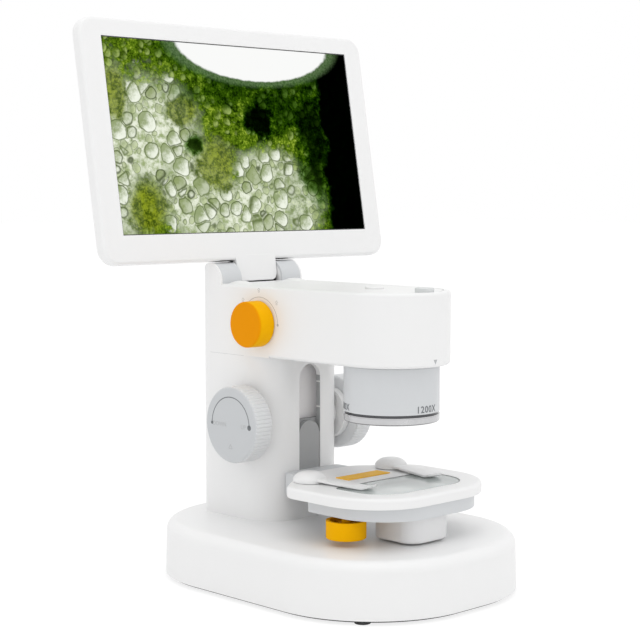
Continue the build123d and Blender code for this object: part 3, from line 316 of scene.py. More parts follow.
def on_side(side, wall, y0, z0):
    """Rule that lays a flat drawing on a wall that faces side * X, wall away from the middle plane: drawing right
    is side * Y, up is +Z, and its body points out of the wall."""
    return lambda x, y, z: np.stack([side * (wall + z), y0 + side * x, z0 + y], -1)


def round_drum(radius, heading, z0):
    """Rule that wraps a flat drawing round the drum's axis: angle = heading + x / radius, from the front to the
    right."""

    def rule(x, y, z):
        angle = heading + x / radius
        r = radius + z
        return np.stack([r * np.sin(angle), DRUM_AXIS_Y - r * np.cos(angle), z0 + y], -1)

    return rule


def on_screen(x, up, out):
    """Point of the tilted screen: x to the right, up along the screen from the hinge, out in front of the hinge's
    plane; y = hinge y - out cos(tilt) + up sin(tilt), z = hinge z + out sin(tilt) + up cos(tilt)."""
    lean, rise = sin(SCREEN_TILT), cos(SCREEN_TILT)
    y = HINGE[1] - out * rise + up * lean
    return np.stack([x + HINGE[0], y, HINGE[2] + out * lean + up * rise], -1)


def nosed_outline(sizes, inset=0.0, count=14):
    """Closed flat outline of a rounded rectangle, moved inwards by inset: corner point = centre + r (cos t, sin t).
    sizes are half width, low edge, high edge, and the radii of the low and the high corners."""
    half_width, low, high, low_r, high_r = np.array(sizes) + inset * np.array([-1, 1, -1, -1, -1])
    x0, x1 = half_width - low_r, half_width - high_r
    corners = (
        (x0, low + low_r, low_r, -pi / 2),
        (x1, high - high_r, high_r, 0.0),
        (-x1, high - high_r, high_r, pi / 2),
        (-x0, low + low_r, low_r, pi),
    )
    t = np.linspace(0, pi / 2, count)
    return np.concatenate([np.stack([x + r * np.cos(a + t), y + r * np.sin(a + t)], -1) for x, y, r, a in corners])


def arc_line(radius, start, end, count):
    """Flat line on a circle: (radius cos t, radius sin t, 0)."""
    t = np.linspace(start, end, count)
    return np.stack([radius * np.cos(t), radius * np.sin(t), np.zeros(count)], -1)


def flat_stroke(line, width, thickness=2 * INK):
    """Stroke on a flat line in the XY plane: its width direction is the line's own normal (-dy, dx, 0)."""
    step = np.gradient(line, axis=0)
    step /= np.linalg.norm(step, axis=1)[:, None]
    across = np.stack([-step[:, 1], step[:, 0], np.zeros(len(line))], -1)
    return ribbon(line, across, width, thickness, Z_AXIS)


def flat_dot(x, y, radius):
    """Flat round dot: rings of radius 0, radius, radius, 0 at the bottom and top of its thickness."""
    profile = np.array([[-INK, 0], [-INK, radius], [INK, radius], [INK, 0]])
    return turned(profile, (x, y, 0), Z_AXIS, segments=40)


def joined(parts):
    """One set of points and faces from several."""
    points, faces, start = [], [], 0
    for p, f in parts:
        p = p.reshape(-1, 3)
        points.append(p)
        faces.append(f + start)
        start += len(p)
    return np.concatenate(points), np.concatenate(faces)


# ---- finishes ----
FLOAT, RGBA, VECTOR = "NodeSocketFloat", "NodeSocketColor", "NodeSocketVector"


def opaque(rgb):
    """Colour with full cover."""
    return (*rgb, 1.0)


class Tree:
    """Short hand for building a node tree. A value is a socket to link, or a plain number or colour."""

    def __init__(self, tree):
        self.tree = tree

    def node(self, kind, **settings):
        made = self.tree.nodes.new(kind)
        for name, value in settings.items():
            setattr(made, name, value)
        return made

    def join(self, source, target):
        self.tree.links.new(source, target)

    def feed(self, socket, value):
        if isinstance(value, bpy.types.NodeSocket):
            self.join(value, socket)
        else:
            socket.default_value = value

    def fed(self, kind, values, **settings):
        """Outputs of a new node whose inputs are fed with values, by their names or places."""
        made = self.node(kind, **settings)
        for key, value in values.items():
            self.feed(made.inputs[key], value)
        return made.outputs

    def math(self, operation, *values):
        return self.fed("ShaderNodeMath", dict(enumerate(values)), operation=operation)[0]

    def vector(self, operation, *values):
        return self.fed("ShaderNodeVectorMath", dict(enumerate(values)), operation=operation)

    def times(self, a, b):
        return self.math("MULTIPLY", a, b)

    def sway(self, base, noise, amount):
        """base + amount * (noise - 1/2)."""
        return self.math("MULTIPLY_ADD", self.math("SUBTRACT", noise, 0.5), amount, base)

    def mix(self, factor, a, b, blend="MIX"):
        """Colour between a and b, which are sockets or plain rgb and go to the node's inputs 6 and 7."""
        a, b = (value if isinstance(value, bpy.types.NodeSocket) else opaque(value) for value in (a, b))
        values = {"Factor": factor, 6: a, 7: b}
        return self.fed("ShaderNodeMix", values, data_type="RGBA", blend_type=blend)[2]

    def remap(self, value, low, high, to_low=0.0, to_high=1.0):
        """Smooth step from to_low, where the value is low, to to_high, where it is high."""
        values = dict(enumerate((value, low, high, to_low, to_high)))
        return self.fed("ShaderNodeMapRange", values, interpolation_type="SMOOTHSTEP")[0]

    def noise(self, vector, scale, detail=2.0, rough=0.5, out="Fac"):
        values = {"Vector": vector, "Scale": scale, "Detail": detail, "Roughness": rough}
        return self.fed("ShaderNodeTexNoise", values)[out]

    def cells(self, vector, scale, feature="F1", randomness=1.0):
        """Outputs of a cell pattern."""
        values = {"Vector": vector, "Scale": scale, "Randomness": randomness}
        return self.fed("ShaderNodeTexVoronoi", values, feature=feature)

    def axes(self, vector):
        """The vector's X, Y and Z."""
        return self.fed("ShaderNodeSeparateXYZ", {0: vector})

    def bump(self, height, strength, distance):
        values = {"Strength": strength, "Distance": distance, "Height": height}
        return self.fed("ShaderNodeBump", values)[0]

    def place(self):
        """Point of the surface in metres, on the piece's own axes."""
        return self.node("ShaderNodeTexCoord").outputs["Object"]

    def seen_bare(self):
        """1 for what the camera sees directly, in a reflection or through glass, 0 for what lights a surface."""
        path = self.node("ShaderNodeLightPath").outputs
        mirrored = self.math("MAXIMUM", path["Is Glossy Ray"], path["Is Transmission Ray"])
        return self.math("MAXIMUM", path["Is Camera Ray"], mirrored)


def group(name, inputs, build):
    """Node group with named inputs (name, kind, default) that puts out colour, roughness and normal, filled in by
    build."""
    if name in bpy.data.node_groups:
        return bpy.data.node_groups[name]
    tree = bpy.data.node_groups.new(name, "ShaderNodeTree")
    for label, kind, default in inputs:
        tree.interface.new_socket(name=label, in_out="INPUT", socket_type=kind).default_value = default
    for label, kind in (("Colour", RGBA), ("Roughness", FLOAT), ("Normal", VECTOR)):
        tree.interface.new_socket(name=label, in_out="OUTPUT", socket_type=kind)
    t = Tree(tree)
    build(t, t.node("NodeGroupInput").outputs, t.node("NodeGroupOutput").inputs)
    return tree


def fill_moulded(t, given, out):
    """Slow tone drift, patchy gloss, flow marks and a fine grain."""
    p = t.place()
    drift = t.noise(p, scale=28.0, detail=3.0)
    fine = t.noise(p, scale=420.0)
    fine_share = 0.35
    shift = t.math("ADD", t.math("SUBTRACT", drift, 0.5), t.times(t.math("SUBTRACT", fine, 0.5), fine_share))
    shade = {0: given["Colour"], "Scale": t.math("MULTIPLY_ADD", shift, given["Drift"], 1.0)}
    t.join(t.fed("ShaderNodeVectorMath", shade, operation="SCALE")[0], out["Colour"])
    patch = t.noise(p, scale=75.0, detail=4.0, rough=0.6)
    t.join(t.sway(given["Roughness"], patch, given["Gloss drift"]), out["Roughness"])
    per_metre = t.math("DIVIDE", 1.0, given["Grain size"])
    grain = t.noise(p, per_metre, detail=3.0, rough=0.65)
    pits = t.cells(p, t.times(per_metre, 0.8))["Distance"]
    height = t.math("MULTIPLY_ADD", pits, 0.5, grain)
    t.join(t.bump(height, given["Grain depth"], distance=0.04 * MM), out["Normal"])


def fill_brushed(t, given, out):
    """Fine streaks along one axis, with a slow change of gloss."""
    p = t.place()
    stretched = t.fed("ShaderNodeMapping", {"Vector": p, "Scale": given["Stretch"]})[0]
    streak = t.noise(stretched, scale=1.0, detail=3.0, rough=0.6)
    slow = t.noise(p, scale=60.0)
    tarnish = (0.08, 0.08, 0.085)
    t.join(t.mix(t.times(streak, given["Contrast"]), given["Colour"], tarnish), out["Colour"])
    spread = 0.16
    floor = t.math("SUBTRACT", given["Roughness"], spread)
    t.join(t.math("MULTIPLY_ADD", t.math("ADD", streak, slow), spread, floor), out["Roughness"])
    t.join(t.bump(streak, strength=0.25, distance=0.03 * MM), out["Normal"])


def finish(name, **plain):
    """New material with one Principled BSDF whose plain sockets are set; returns it, its tree and the shader."""
    material = bpy.data.materials.new(name)
    material.use_nodes = True
    shader = material.node_tree.nodes["Principled BSDF"]
    for label, value in plain.items():
        shader.inputs[label.replace("_", " ")].default_value = value
    return material, Tree(material.node_tree), shader


def dressed(name, tree, values, **plain):
    """Material whose colour, roughness and normal come from a node group with these values."""
    material, t, shader = finish(name, **plain)
    detail = t.node("ShaderNodeGroup", node_tree=tree)
    for label, value in values.items():
        detail.inputs[label].default_value = value
    for label, target in (("Colour", "Base Color"), ("Roughness", "Roughness"), ("Normal", "Normal")):
        t.join(detail.outputs[label], shader.inputs[target])
    return material


def moulded(name, rgb, rough, drift=0.02, gloss=0.08, grain=0.25, size=None, **plain):
    """Moulded plastic or rubber, with a drift of its tone and gloss, and the depth and size of its grain."""
    inputs = [
        ("Colour", RGBA, (0.8, 0.8, 0.8, 1.0)),
        ("Drift", FLOAT, 0.02),
        ("Roughness", FLOAT, 0.45),
        ("Gloss drift", FLOAT, 0.08),
        ("Grain size", FLOAT, 0.00035),
        ("Grain depth", FLOAT, 0.25),
    ]
    size = bpy.context.scene.microscope_casing.grain if size is None else size
    given = (opaque(rgb), drift, rough, gloss, size, grain)
    values = {label: value for (label, _, _), value in zip(inputs, given)}
    return dressed(name, group("Moulded surface", inputs, fill_moulded), values, **plain)


def brushed(name, rgb, rough, contrast, stretch):
    """Metal with fine streaks."""
    inputs = [
        ("Colour", RGBA, (0.6, 0.6, 0.6, 1.0)),
        ("Roughness", FLOAT, 0.3),
        ("Contrast", FLOAT, 0.25),
        ("Stretch", VECTOR, (300.0, 9000.0, 9000.0)),
    ]
    values = {"Colour": opaque(rgb), "Roughness": rough, "Contrast": contrast, "Stretch": stretch}
    return dressed(name, group("Brushed metal", inputs, fill_brushed), values, Metallic=1.0)


def circuit(name):
    """Lacquered board: green mask, paler copper runs from square cells, and small bright pads."""
    material, t, shader = finish(name, Coat_Weight=0.4, Coat_Roughness=0.2)
    mask, copper, tin = (0.006, 0.06, 0.025), (0.02, 0.15, 0.06), (0.55, 0.56, 0.55)
    p = t.place()
    runs = t.cells(p, 420.0, "DISTANCE_TO_EDGE", randomness=0.35)["Distance"]
    track = t.remap(runs, 0.05, 0.09, 1.0, 0.0)
    pads = t.remap(t.cells(p, 650.0)["Distance"], 0.16, 0.2, 1.0, 0.0)
    green = t.mix(t.times(track, 0.7), mask, copper)
    t.join(t.mix(t.times(pads, 0.8), green, tin), shader.inputs["Base Color"])
    t.join(t.remap(pads, 0.0, 1.0, 0.45, 0.25), shader.inputs["Roughness"])
    t.join(t.bump(track, strength=0.5, distance=0.03 * MM), shader.inputs["Normal"])
    return material


def clear_glass(name, tint, rough):
    """Clear glass with faint wiping marks in its polish."""
    material, t, shader = finish(name, Metallic=0.0, Transmission_Weight=1.0, IOR=1.52)
    wipe = t.noise(t.place(), scale=90.0, detail=5.0, rough=0.6)
    t.join(t.remap(wipe, 0.35, 0.8, rough, rough + 0.05), shader.inputs["Roughness"])
    t.join(t.mix(t.times(wipe, 0.15), tint, (0.7, 0.8, 0.78)), shader.inputs["Base Color"])
    return material


def tinted_pane(name):
    """Stage pane: greenish grey glass over a pale plate, strongly reflecting, with wiping marks."""
    material, t, shader = finish(
        name, Metallic=0.0, IOR=1.52, Coat_Weight=0.5, Coat_Roughness=0.02, Alpha=0.6
    )
    wipe = t.noise(t.place(), scale=70.0, detail=5.0, rough=0.6)
    t.join(t.mix(wipe, (0.76, 0.83, 0.815), (0.84, 0.885, 0.875)), shader.inputs["Base Color"])
    t.join(t.remap(wipe, 0.35, 0.8, 0.02, 0.09), shader.inputs["Roughness"])
    return material


def painted_rim_light(name, face, rim, plane, rough, specular):
    """Turned moulding on an axle along X, with painted light: from the plane outwards its flat face keeps the face
    colour, and its rim takes the rim colour, painted lighter to stand in for the light on the rim.
    """
    material = moulded(name, face, rough, 0.03, Specular_IOR_Level=specular)
    t = Tree(material.node_tree)
    base = material.node_tree.nodes["Principled BSDF"].inputs["Base Color"]
    # The rim's painted light fades into the face colour between 1.2 mm and 0.1 mm inside the face's plane.
    blend_start, blend_end = plane - 1.2 * MM, plane - 0.1 * MM
    from_middle = t.math("ABSOLUTE", t.axes(t.place())["X"])
    on_rim = t.remap(from_middle, blend_start, blend_end, 1.0, 0.0)
    t.join(t.mix(on_rim, base.links[0].from_socket, rim), base)
    return material


def bright_ring(name):
    """Satin metal ring with a dark line at its lower edge and a faint one below its upper edge."""
    material, t, shader = finish(name, Metallic=0.35)
    low_line, low_end, high_line, half_line = 78.0 * MM, 78.35 * MM, 80.55 * MM, 0.12 * MM
    p = t.place()
    z = t.axes(p)["Z"]
    low = t.remap(z, low_line, low_end, 1.0, 0.0)
    high = t.remap(t.math("ABSOLUTE", t.math("SUBTRACT", z, high_line)), 0.0, half_line, 1.0, 0.0)
    lines = t.math("MAXIMUM", low, t.times(high, 0.6))
    streak = t.noise(p, scale=160.0)
    metal = t.mix(streak, (0.50, 0.50, 0.51), (0.66, 0.66, 0.67))
    t.join(t.mix(t.times(lines, 0.8), metal, (0.10, 0.10, 0.105)), shader.inputs["Base Color"])
    t.join(t.remap(streak, 0.3, 0.7, 0.18, 0.28), shader.inputs["Roughness"])
    return material


# Parts of the displayed section, as ellipses with centre u, v and radii u, v, in shares of the display's width and
# height. A strength and the softness of the rim may follow.
PALE_PARTS = (
    (0.14, 0.53, 0.17, 0.25),
    (0.30, 0.22, 0.15, 0.24),
    (0.50, 0.10, 0.18, 0.18),
    (0.60, 0.33, 0.12, 0.11, 0.75),
    (0.72, 0.16, 0.09, 0.18, 0.65),
    (0.02, 0.40, 0.06, 0.40),
)
OLIVE_PARTS = (
    (0.38, 0.34, 0.08, 0.15),
    (0.02, 0.70, 0.05, 0.15),
    (0.10, 0.14, 0.08, 0.13),
    (0.27, 0.64, 0.06, 0.08),
)
DARK_PARTS = (
    (0.585, 0.60, 0.08, 0.09, 0.93, 0.5),
    (0.81, 0.52, 0.08, 0.34, 0.85, 0.6),
    (0.68, 0.66, 0.16, 0.14, 0.66, 0.6),
    (0.44, 0.74, 0.18, 0.08, 0.55, 0.6),
    (0.31, 0.46, 0.035, 0.05, 0.85, 0.5),
)
BAY = (0.595, 1.03, 0.325, 0.215)
DARK_SIDE = (0.79, 0.88)


def tissue_picture(name):
    """Displayed plant section: crowded pale cells, green grains between them, dark masses at the right, and a
    bright empty bay at the top. It is read from the display's own UV map in metres."""
    look = bpy.context.scene.microscope_screen
    material, t, shader = finish(name, Specular_IOR_Level=0.0, Roughness=0.6)
    shader.inputs["Base Color"].default_value = opaque((0.0, 0.0, 0.0))
    uv = t.node("ShaderNodeUVMap", uv_map="display").outputs[0]
    flat = t.axes(uv)
    u = t.math("DIVIDE", flat["X"], look.width)
    v = t.math("DIVIDE", flat["Y"], look.height)
    slow = t.noise(uv, scale=60.0, detail=3.0, rough=0.6)
    clump = t.noise(uv, scale=260.0, detail=4.0, rough=0.65)
    grit = t.noise(uv, scale=900.0, detail=4.0, rough=0.7)
    wander = (3.0 * MM, 3.0 * MM, 0.0)
    spot = t.vector("MULTIPLY_ADD", t.noise(uv, scale=170.0, out="Color"), wander, uv)[0]

    def ellipse(cu, cv, ru, rv):
        """Distance from the ellipse's centre, 1 on its rim: sqrt(((u - cu) / ru)^2 + ((v - cv) / rv)^2)."""
        x = t.math("DIVIDE", t.math("SUBTRACT", u, cu), ru)
        y = t.math("DIVIDE", t.math("SUBTRACT", v, cv), rv)
        return t.math("SQRT", t.math("MULTIPLY_ADD", x, x, t.times(y, y)))

    def part(cu, cv, ru, rv, strength=1.0, soft=0.4):
        """Strength inside an ellipse, 0 outside, with a wavering soft rim."""
        reach = t.sway(t.sway(ellipse(cu, cv, ru, rv), slow, 1.5), clump, 0.9)
        return t.times(t.remap(reach, 1.0 + soft, 1.0 - soft), strength)

    def most(masks):
        """The highest of the masks."""
        result = masks[0]
        for mask in masks[1:]:
            result = t.math("MAXIMUM", result, mask)
        return result

    def bubbles(size, small, spread):
        """Round cells of a size: mask of the bodies, mask of the walls, lit side and three random tones."""
        packing, lighting, rounding = 0.85, 0.7, 0.14
        wall_depth, wall_width, skin = 0.035, 0.055, 0.045
        cell = t.cells(spot, 1.0 / size, "F1", packing)
        edge = t.cells(spot, 1.0 / size, "DISTANCE_TO_EDGE", packing)["Distance"]
        tones = t.fed("ShaderNodeSeparateColor", {0: cell["Color"]})
        radius = t.math("MULTIPLY_ADD", tones[0], spread, small)
        room = t.math("SMOOTH_MIN", t.math("SUBTRACT", radius, cell["Distance"]), edge, rounding)
        away = t.vector("SUBTRACT", spot, cell["Position"])[0]
        lean = t.vector("DOT_PRODUCT", away, (lighting / size, -lighting / size, 0.0))["Value"]
        side = t.sway(t.sway(lean, clump, 1.1), grit, 0.5)
        wall = t.remap(t.math("ABSOLUTE", t.math("SUBTRACT", room, wall_depth)), wall_width, 0.0)
        return t.remap(room, 0.0, skin), wall, t.remap(side, -0.35, 0.4), tones

    pale = most([part(*p) for p in PALE_PARTS])
    olive = most([part(*p) for p in OLIVE_PARTS])
    pale = t.times(pale, t.math("SUBTRACT", 1.0, t.times(olive, 0.9)))
    dark = most([t.remap(t.sway(u, slow, 0.25), *DARK_SIDE)] + [part(*p) for p in DARK_PARTS])

    # Grainy green ground, from near black to yellow green, with a few bright specks.
    tone = t.sway(t.sway(clump, grit, 0.9), slow, 0.5)
    green = t.mix(t.remap(tone, 0.32, 0.55), (0.010, 0.030, 0.001), (0.085, 0.165, 0.005))
    green = t.mix(t.remap(tone, 0.54, 0.74), green, (0.30, 0.42, 0.035))
    green = t.mix(t.remap(tone, 0.76, 0.88), green, (0.70, 0.78, 0.30))
    moss = t.mix(t.remap(tone, 0.30, 0.70), (0.045, 0.08, 0.002), (0.27, 0.34, 0.02))
    green = t.mix(olive, green, moss)
    milk = t.mix(t.remap(clump, 0.35, 0.62), (0.34, 0.42, 0.20), (0.84, 0.88, 0.73))
    picture = t.mix(pale, green, milk)

    # Small green cells under the large pale ones.
    body, wall, lit, tones = bubbles(look.cell * 0.6, 0.36, 0.22)
    fill = t.mix(lit, (0.10, 0.17, 0.012), (0.42, 0.53, 0.17))
    fill = t.mix(t.times(pale, 0.6), fill, (0.62, 0.68, 0.46))
    seen = t.remap(t.math("MULTIPLY_ADD", pale, 0.3, tones[1]), 0.12, 0.38)
    seen = t.times(seen, t.math("SUBTRACT", 0.9, t.times(olive, 0.75)))
    picture = t.mix(t.times(body, t.times(seen, 0.85)), picture, fill)
    picture = t.mix(t.times(wall, t.times(seen, 0.6)), picture, (0.03, 0.06, 0.004))

    # Large pale cells, crowded in the pale parts and rare in the green.
    body, wall, lit, tones = bubbles(look.cell, 0.44, 0.25)
    fill = t.mix(lit, (0.30, 0.37, 0.18), (0.90, 0.94, 0.82))
    fill = t.mix(t.remap(tones[2], 0.70, 0.95, 0.0, 0.7), fill, (0.26, 0.33, 0.12))
    seen = t.remap(t.math("MULTIPLY_ADD", tones[1], 0.45, pale), 0.40, 0.60)
    picture = t.mix(t.times(body, t.times(seen, 0.93)), picture, fill)
    rim = t.mix(tones[0], (0.035, 0.055, 0.008), (0.14, 0.19, 0.06))
    picture = t.mix(t.times(wall, t.times(seen, 0.85)), picture, rim)

    shade = t.mix(t.remap(dark, 0.45, 1.0), (0.16, 0.34, 0.05), (0.0, 0.002, 0.0))
    picture = t.mix(t.remap(dark, 0.0, 0.75), picture, t.mix(1.0, picture, shade, "MULTIPLY"))

    # The bay: an ellipse hung from the top edge, with a thin grey green shore.
    ring = t.sway(ellipse(*BAY), clump, 0.07)
    shore = t.mix(t.remap(grit, 0.35, 0.65), (0.05, 0.11, 0.03), (0.14, 0.22, 0.10))
    dusk = t.mix(1.0, picture, (0.22, 0.40, 0.12), "MULTIPLY")
    picture = t.mix(t.remap(ring, 1.50, 1.08), picture, dusk)
    picture = t.mix(t.times(t.remap(ring, 1.20, 1.06), 0.85), picture, shore)
    picture = t.mix(t.remap(ring, 1.02, 0.97), picture, (0.95, 0.955, 0.945))
    t.join(picture, shader.inputs["Emission Color"])
    shader.inputs["Emission Strength"].default_value = 1.0
    return material


# The finish of each of the record's material slots, and of the nodes that have one of their own.
SLOT_FINISHES = {
    "white_plastic": "white_moulding",
    "light_grey_plastic": "light_grey_moulding",
    "grey_plastic": "mid_grey_moulding",
    "black_plastic": "black_moulding",
    "orange_plastic": "orange_moulding",
    "foot_rubber": "foot_rubber",
    "ballast_iron": "cast_weight",
    "steel": "turned_steel",
    "bearing_brass": "turned_brass",
    "lip_chrome": "polished_lip",
    "circuit_board": "lacquered_board",
    "cell_wrap": "cell_wrap",
    "optic_glass": "optic_glass",
    "stage_glass": "stage_pane",
    "display_glass": "display_black",
    "label_orange": "label_film",
    "lamp_white": "milk_diffuser",
}
NODE_FINISHES = {
    "turret_band": "dark_band",
    "lamp_housing": "lamp_lightened_grey",
    "slot_liner": "liner_lightened_grey",
    "light_panel": "white_moulding",
    "front_button": "button_moulding",
}


class MICROSCOPE_OT_finishes(bpy.types.Operator):
    """Makes every finish and lays it on the solids that carry it"""

    bl_idname = "microscope.finishes"
    bl_label = "Finishes"

    def execute(self, context):
        c = context.scene.microscope_casing
        knob_plane = context.scene.microscope_knobs.outer_x
        selector_plane = -SELECTOR[0] + context.scene.microscope_selector.depth
        moulded("white_moulding", c.white, 0.42, 0.018, Coat_Weight=0.06)
        moulded("light_grey_moulding", c.light_grey, 0.40, 0.02, Coat_Weight=0.08)
        moulded("mid_grey_moulding", c.mid_grey, 0.38, 0.05)
        moulded("black_moulding", c.black, 0.35, 0.2, grain=0.35)
        moulded("orange_moulding", c.orange_rim, 0.55, 0.04, Specular_IOR_Level=0.05)
        # Selector: its rim is painted lighter and yellower than its face, a painted lit side.
        painted_rim_light("selector_cap", c.orange, c.orange_rim, selector_plane, rough=0.55, specular=0.05)
        # Focus knobs: face painted darker as painted shade, rim painted lighter as painted light.
        painted_rim_light("knob_moulding", c.knob_face, c.knob_rim, knob_plane, rough=0.4, specular=0.4)
        # Lamp housing: a light grey lightened as painted light, to make up for the shade beneath the stage.
        moulded("lamp_lightened_grey", (0.80, 0.80, 0.805), 0.42, 0.02)
        # Slot liner: a grey part lightened nearly to white as painted light, to make up for the shade inside the
        # slot.
        moulded("liner_lightened_grey", (0.87, 0.855, 0.86), 0.5, 0.03)
        moulded("button_moulding", (0.66, 0.68, 0.68), 0.4, 0.02)
        # Dark tone of the thin band round the stage pane's edge.
        moulded("pane_seal", (0.07, 0.095, 0.09), 0.4, 0.5, size=0.004)
        moulded("printed_ink", c.ink, 0.55, 0.1)
        moulded("pale_ink", c.pale_ink, 0.55, 0.1)
        # White for the painted highlights on the slot's two ledges.
        moulded("ledge_highlight_white", (0.8, 0.8, 0.78), 0.5, 0.04)
        moulded("label_film", c.label, 0.5, 0.06, Specular_IOR_Level=0.15)
        moulded("foot_rubber", (0.02, 0.02, 0.02), 0.8, 0.3, grain=0.6, size=0.0005)
        moulded("cast_weight", (0.09, 0.09, 0.095), 0.65, 0.4, gloss=0.2, grain=0.9, size=0.0012)
        moulded("cell_wrap", (0.03, 0.10, 0.42), 0.25, 0.1, grain=0.08, Coat_Weight=0.5)
        glow = {"Emission_Strength": 0.25, "Emission_Color": opaque((1, 1, 1))}
        moulded("milk_diffuser", (0.86, 0.86, 0.84), 0.3, 0.01, grain=0.1, **glow)
        moulded("display_black", (0.004, 0.004, 0.005), 0.25, 0.1, grain=0.05, Coat_Weight=0.6)
        brushed("turned_steel", (0.62, 0.62, 0.63), 0.30, contrast=0.25, stretch=(200.0, 6000.0, 6000.0))
        brushed("turned_brass", (0.75, 0.52, 0.20), 0.32, contrast=0.2, stretch=(200.0, 6000.0, 6000.0))
        brushed("dark_band", (0.10, 0.10, 0.105), 0.20, contrast=0.3, stretch=(60.0, 60.0, 6000.0))
        bright_ring("polished_lip")
        circuit("lacquered_board")
        clear_glass("optic_glass", (0.9, 0.96, 1.0), rough=0.02)
        tinted_pane("stage_pane")
        tissue_picture("tissue_picture")
        for part in frame["record"]["subparts"]:
            material = NODE_FINISHES.get(part["node"], SLOT_FINISHES[part["material_slot"]])
            mesh = frame["nodes"][part["node"]].data
            mesh.materials.clear()
            mesh.materials.append(bpy.data.materials[material])
        return {"FINISHED"}


# ---- pieces ----
class MICROSCOPE_OT_display(bpy.types.Operator):
    """Lit picture of the display, the thin black line round it and the pale edge of the bezel's opening"""

    bl_idname = "microscope.display"
    bl_label = "Display"

    def execute(self, context):
        s = context.scene.microscope_screen
        columns, rows = 9, 7
        overlap, line_high = 0.1 * MM, 0.06 * MM
        lip_low, lip_high = BEZEL_OUT - 0.05 * MM, BEZEL_OUT - 0.005 * MM
        w, h = s.width / 2, s.height / 2
        x, y = np.meshgrid(np.linspace(-w, w, columns), np.linspace(-h, h, rows), indexing="ij")
        points = on_screen(x.ravel(), y.ravel() + s.centre_height, np.full(x.size, DISPLAY_OUT))
        mesh = bpy.data.meshes.new("display_picture")
        mesh.from_pydata(points, [], grid_faces(columns, rows).tolist())
        flat = np.stack([x.ravel() + w, y.ravel() + h], -1)
        corner = np.empty(len(mesh.loops), np.int32)
        mesh.loops.foreach_get("vertex_index", corner)
        mesh.uv_layers.new(name="display").data.foreach_set("uv", flat[corner].ravel())
        place(mesh, "screen", "tissue_picture", smooth=False)

        side = np.array([[-1, -1], [1, -1], [1, 1], [-1, 1]])
        corners = side * [w, h]

        def rim(name, steps):
            """Closed rim of four rectangles, each the display grown by a step's first and out by its second."""
            loops = [(corners + side * grow, out) for grow, out in steps]
            rings = [on_screen(xy[:, 0], xy[:, 1] + s.centre_height, np.full(4, out)) for xy, out in loops]
            return mesh_from(name, np.stack(rings), grid_faces(4, 4, True, True))

        line_out, line = DISPLAY_OUT + line_high, s.line_width
        steps = ((-overlap, DISPLAY_OUT), (-overlap, line_out), (line, line_out), (line, DISPLAY_OUT))
        mesh = rim("display_line", steps)
        place(mesh, "screen", "display_black", smooth=False)
        steps = ((line, DISPLAY_OUT), (line, lip_low), (s.border, lip_high), (s.border, DISPLAY_OUT))
        mesh = rim("display_frame", steps)
        place(mesh, "screen", "white_moulding", smooth=False)
        return {"FINISHED"}


class MICROSCOPE_OT_focus_knobs(bpy.types.Operator):
    """Two ribbed focus knobs with the printed arc, dots and words on their faces"""

    bl_idname = "microscope.focus_knobs"
    bl_label = "Focus knobs"

    def execute(self, context):
        k = context.scene.microscope_knobs
        depth, count, radius = k.rib_depth, k.ribs, k.radius
        width = k.outer_x - k.inner_x
        shoulder, dish_radius, segments = 1.2 * MM, 2.4 * MM, 720
        rib_start, rib_blend = radius - 0.6 * MM, 0.5 * MM
        up_dot, down_dot = 1.25 * MM, 0.75 * MM
        up_word, down_word, word_size, word_drop = 8.8 * MM, 7.6 * MM, 2.8 * MM, 1.0 * MM
        arrow_half, arrow_low, arrow_high, arrow_line = 1.2 * MM, -10.8 * MM, -8.8 * MM, 0.3 * MM

        def ripple(v, r):
            """Radius less depth * ((1 + cos(count v)) / 2)^3, where the rim is near its full radius."""
            cut = depth * ((1 + np.cos(count * v)) / 2) ** 3
            rim = np.clip((r - rib_start) / rib_blend, 0, 1)
            return r - cut * rim

        profile = rounded_profile(
            [
                (0.0, 0.0, 0),
                (0.0, radius - shoulder, 0),
                (0.6 * MM, radius, 0.6 * MM),
                (width - 0.8 * MM, radius, 0.5 * MM),
                (width, radius - shoulder, 0.6 * MM),
                (width, dish_radius, 0),
                (width, 0.0, 0),
            ]
        )
        corners = [(-arrow_half, arrow_low, 0), (arrow_half, arrow_low, 0), (0, arrow_high, 0)]
        corners = np.array(corners + corners[:1])
        arrow = joined([flat_stroke(np.linspace(a, b, 4), arrow_line) for a, b in zip(corners, corners[1:])])
        for side, name in ((-1, "left"), (1, "right")):
            points, faces = turned(profile, SHAFT + [side * k.inner_x, 0, 0], (side, 0, 0), segments, ripple)
            mesh = mesh_from("knob_" + name, points, faces)
            replaced = ["focus_knob_" + name]
            place(mesh, "focus_drive", "knob_moulding", replaced=replaced)
            rule = on_side(side, k.outer_x, SHAFT[1], SHAFT[2])
            up, down = (0.0, pi) if side < 0 else (pi, 0.0)
            marks = [
                flat_stroke(arc_line(k.arc_radius, up, down, 96), k.line),
                flat_dot(k.arc_radius * cos(up), 0.0, up_dot),
                flat_dot(k.arc_radius * cos(down), 0.0, down_dot),
            ]
            mesh = reshape(mesh_from("knob_marks_" + name, *joined(marks)), rule)
            mark(mesh, "focus_drive", "printed_ink")
            for word, at in (("UP", cos(up) * up_word), ("DOWN", cos(down) * down_word)):
                mesh = printed_text(f"knob_{word.lower()}_{name}", word, word_size, 1.0)
                reshape(mesh, lambda x, y, z: rule(x + at, y - word_drop, z))
                mark(mesh, "focus_drive", "pale_ink")
            mesh = reshape(mesh_from("knob_arrow_" + name, *arrow), rule)
            mark(mesh, "focus_drive", "pale_ink")
        return {"FINISHED"}


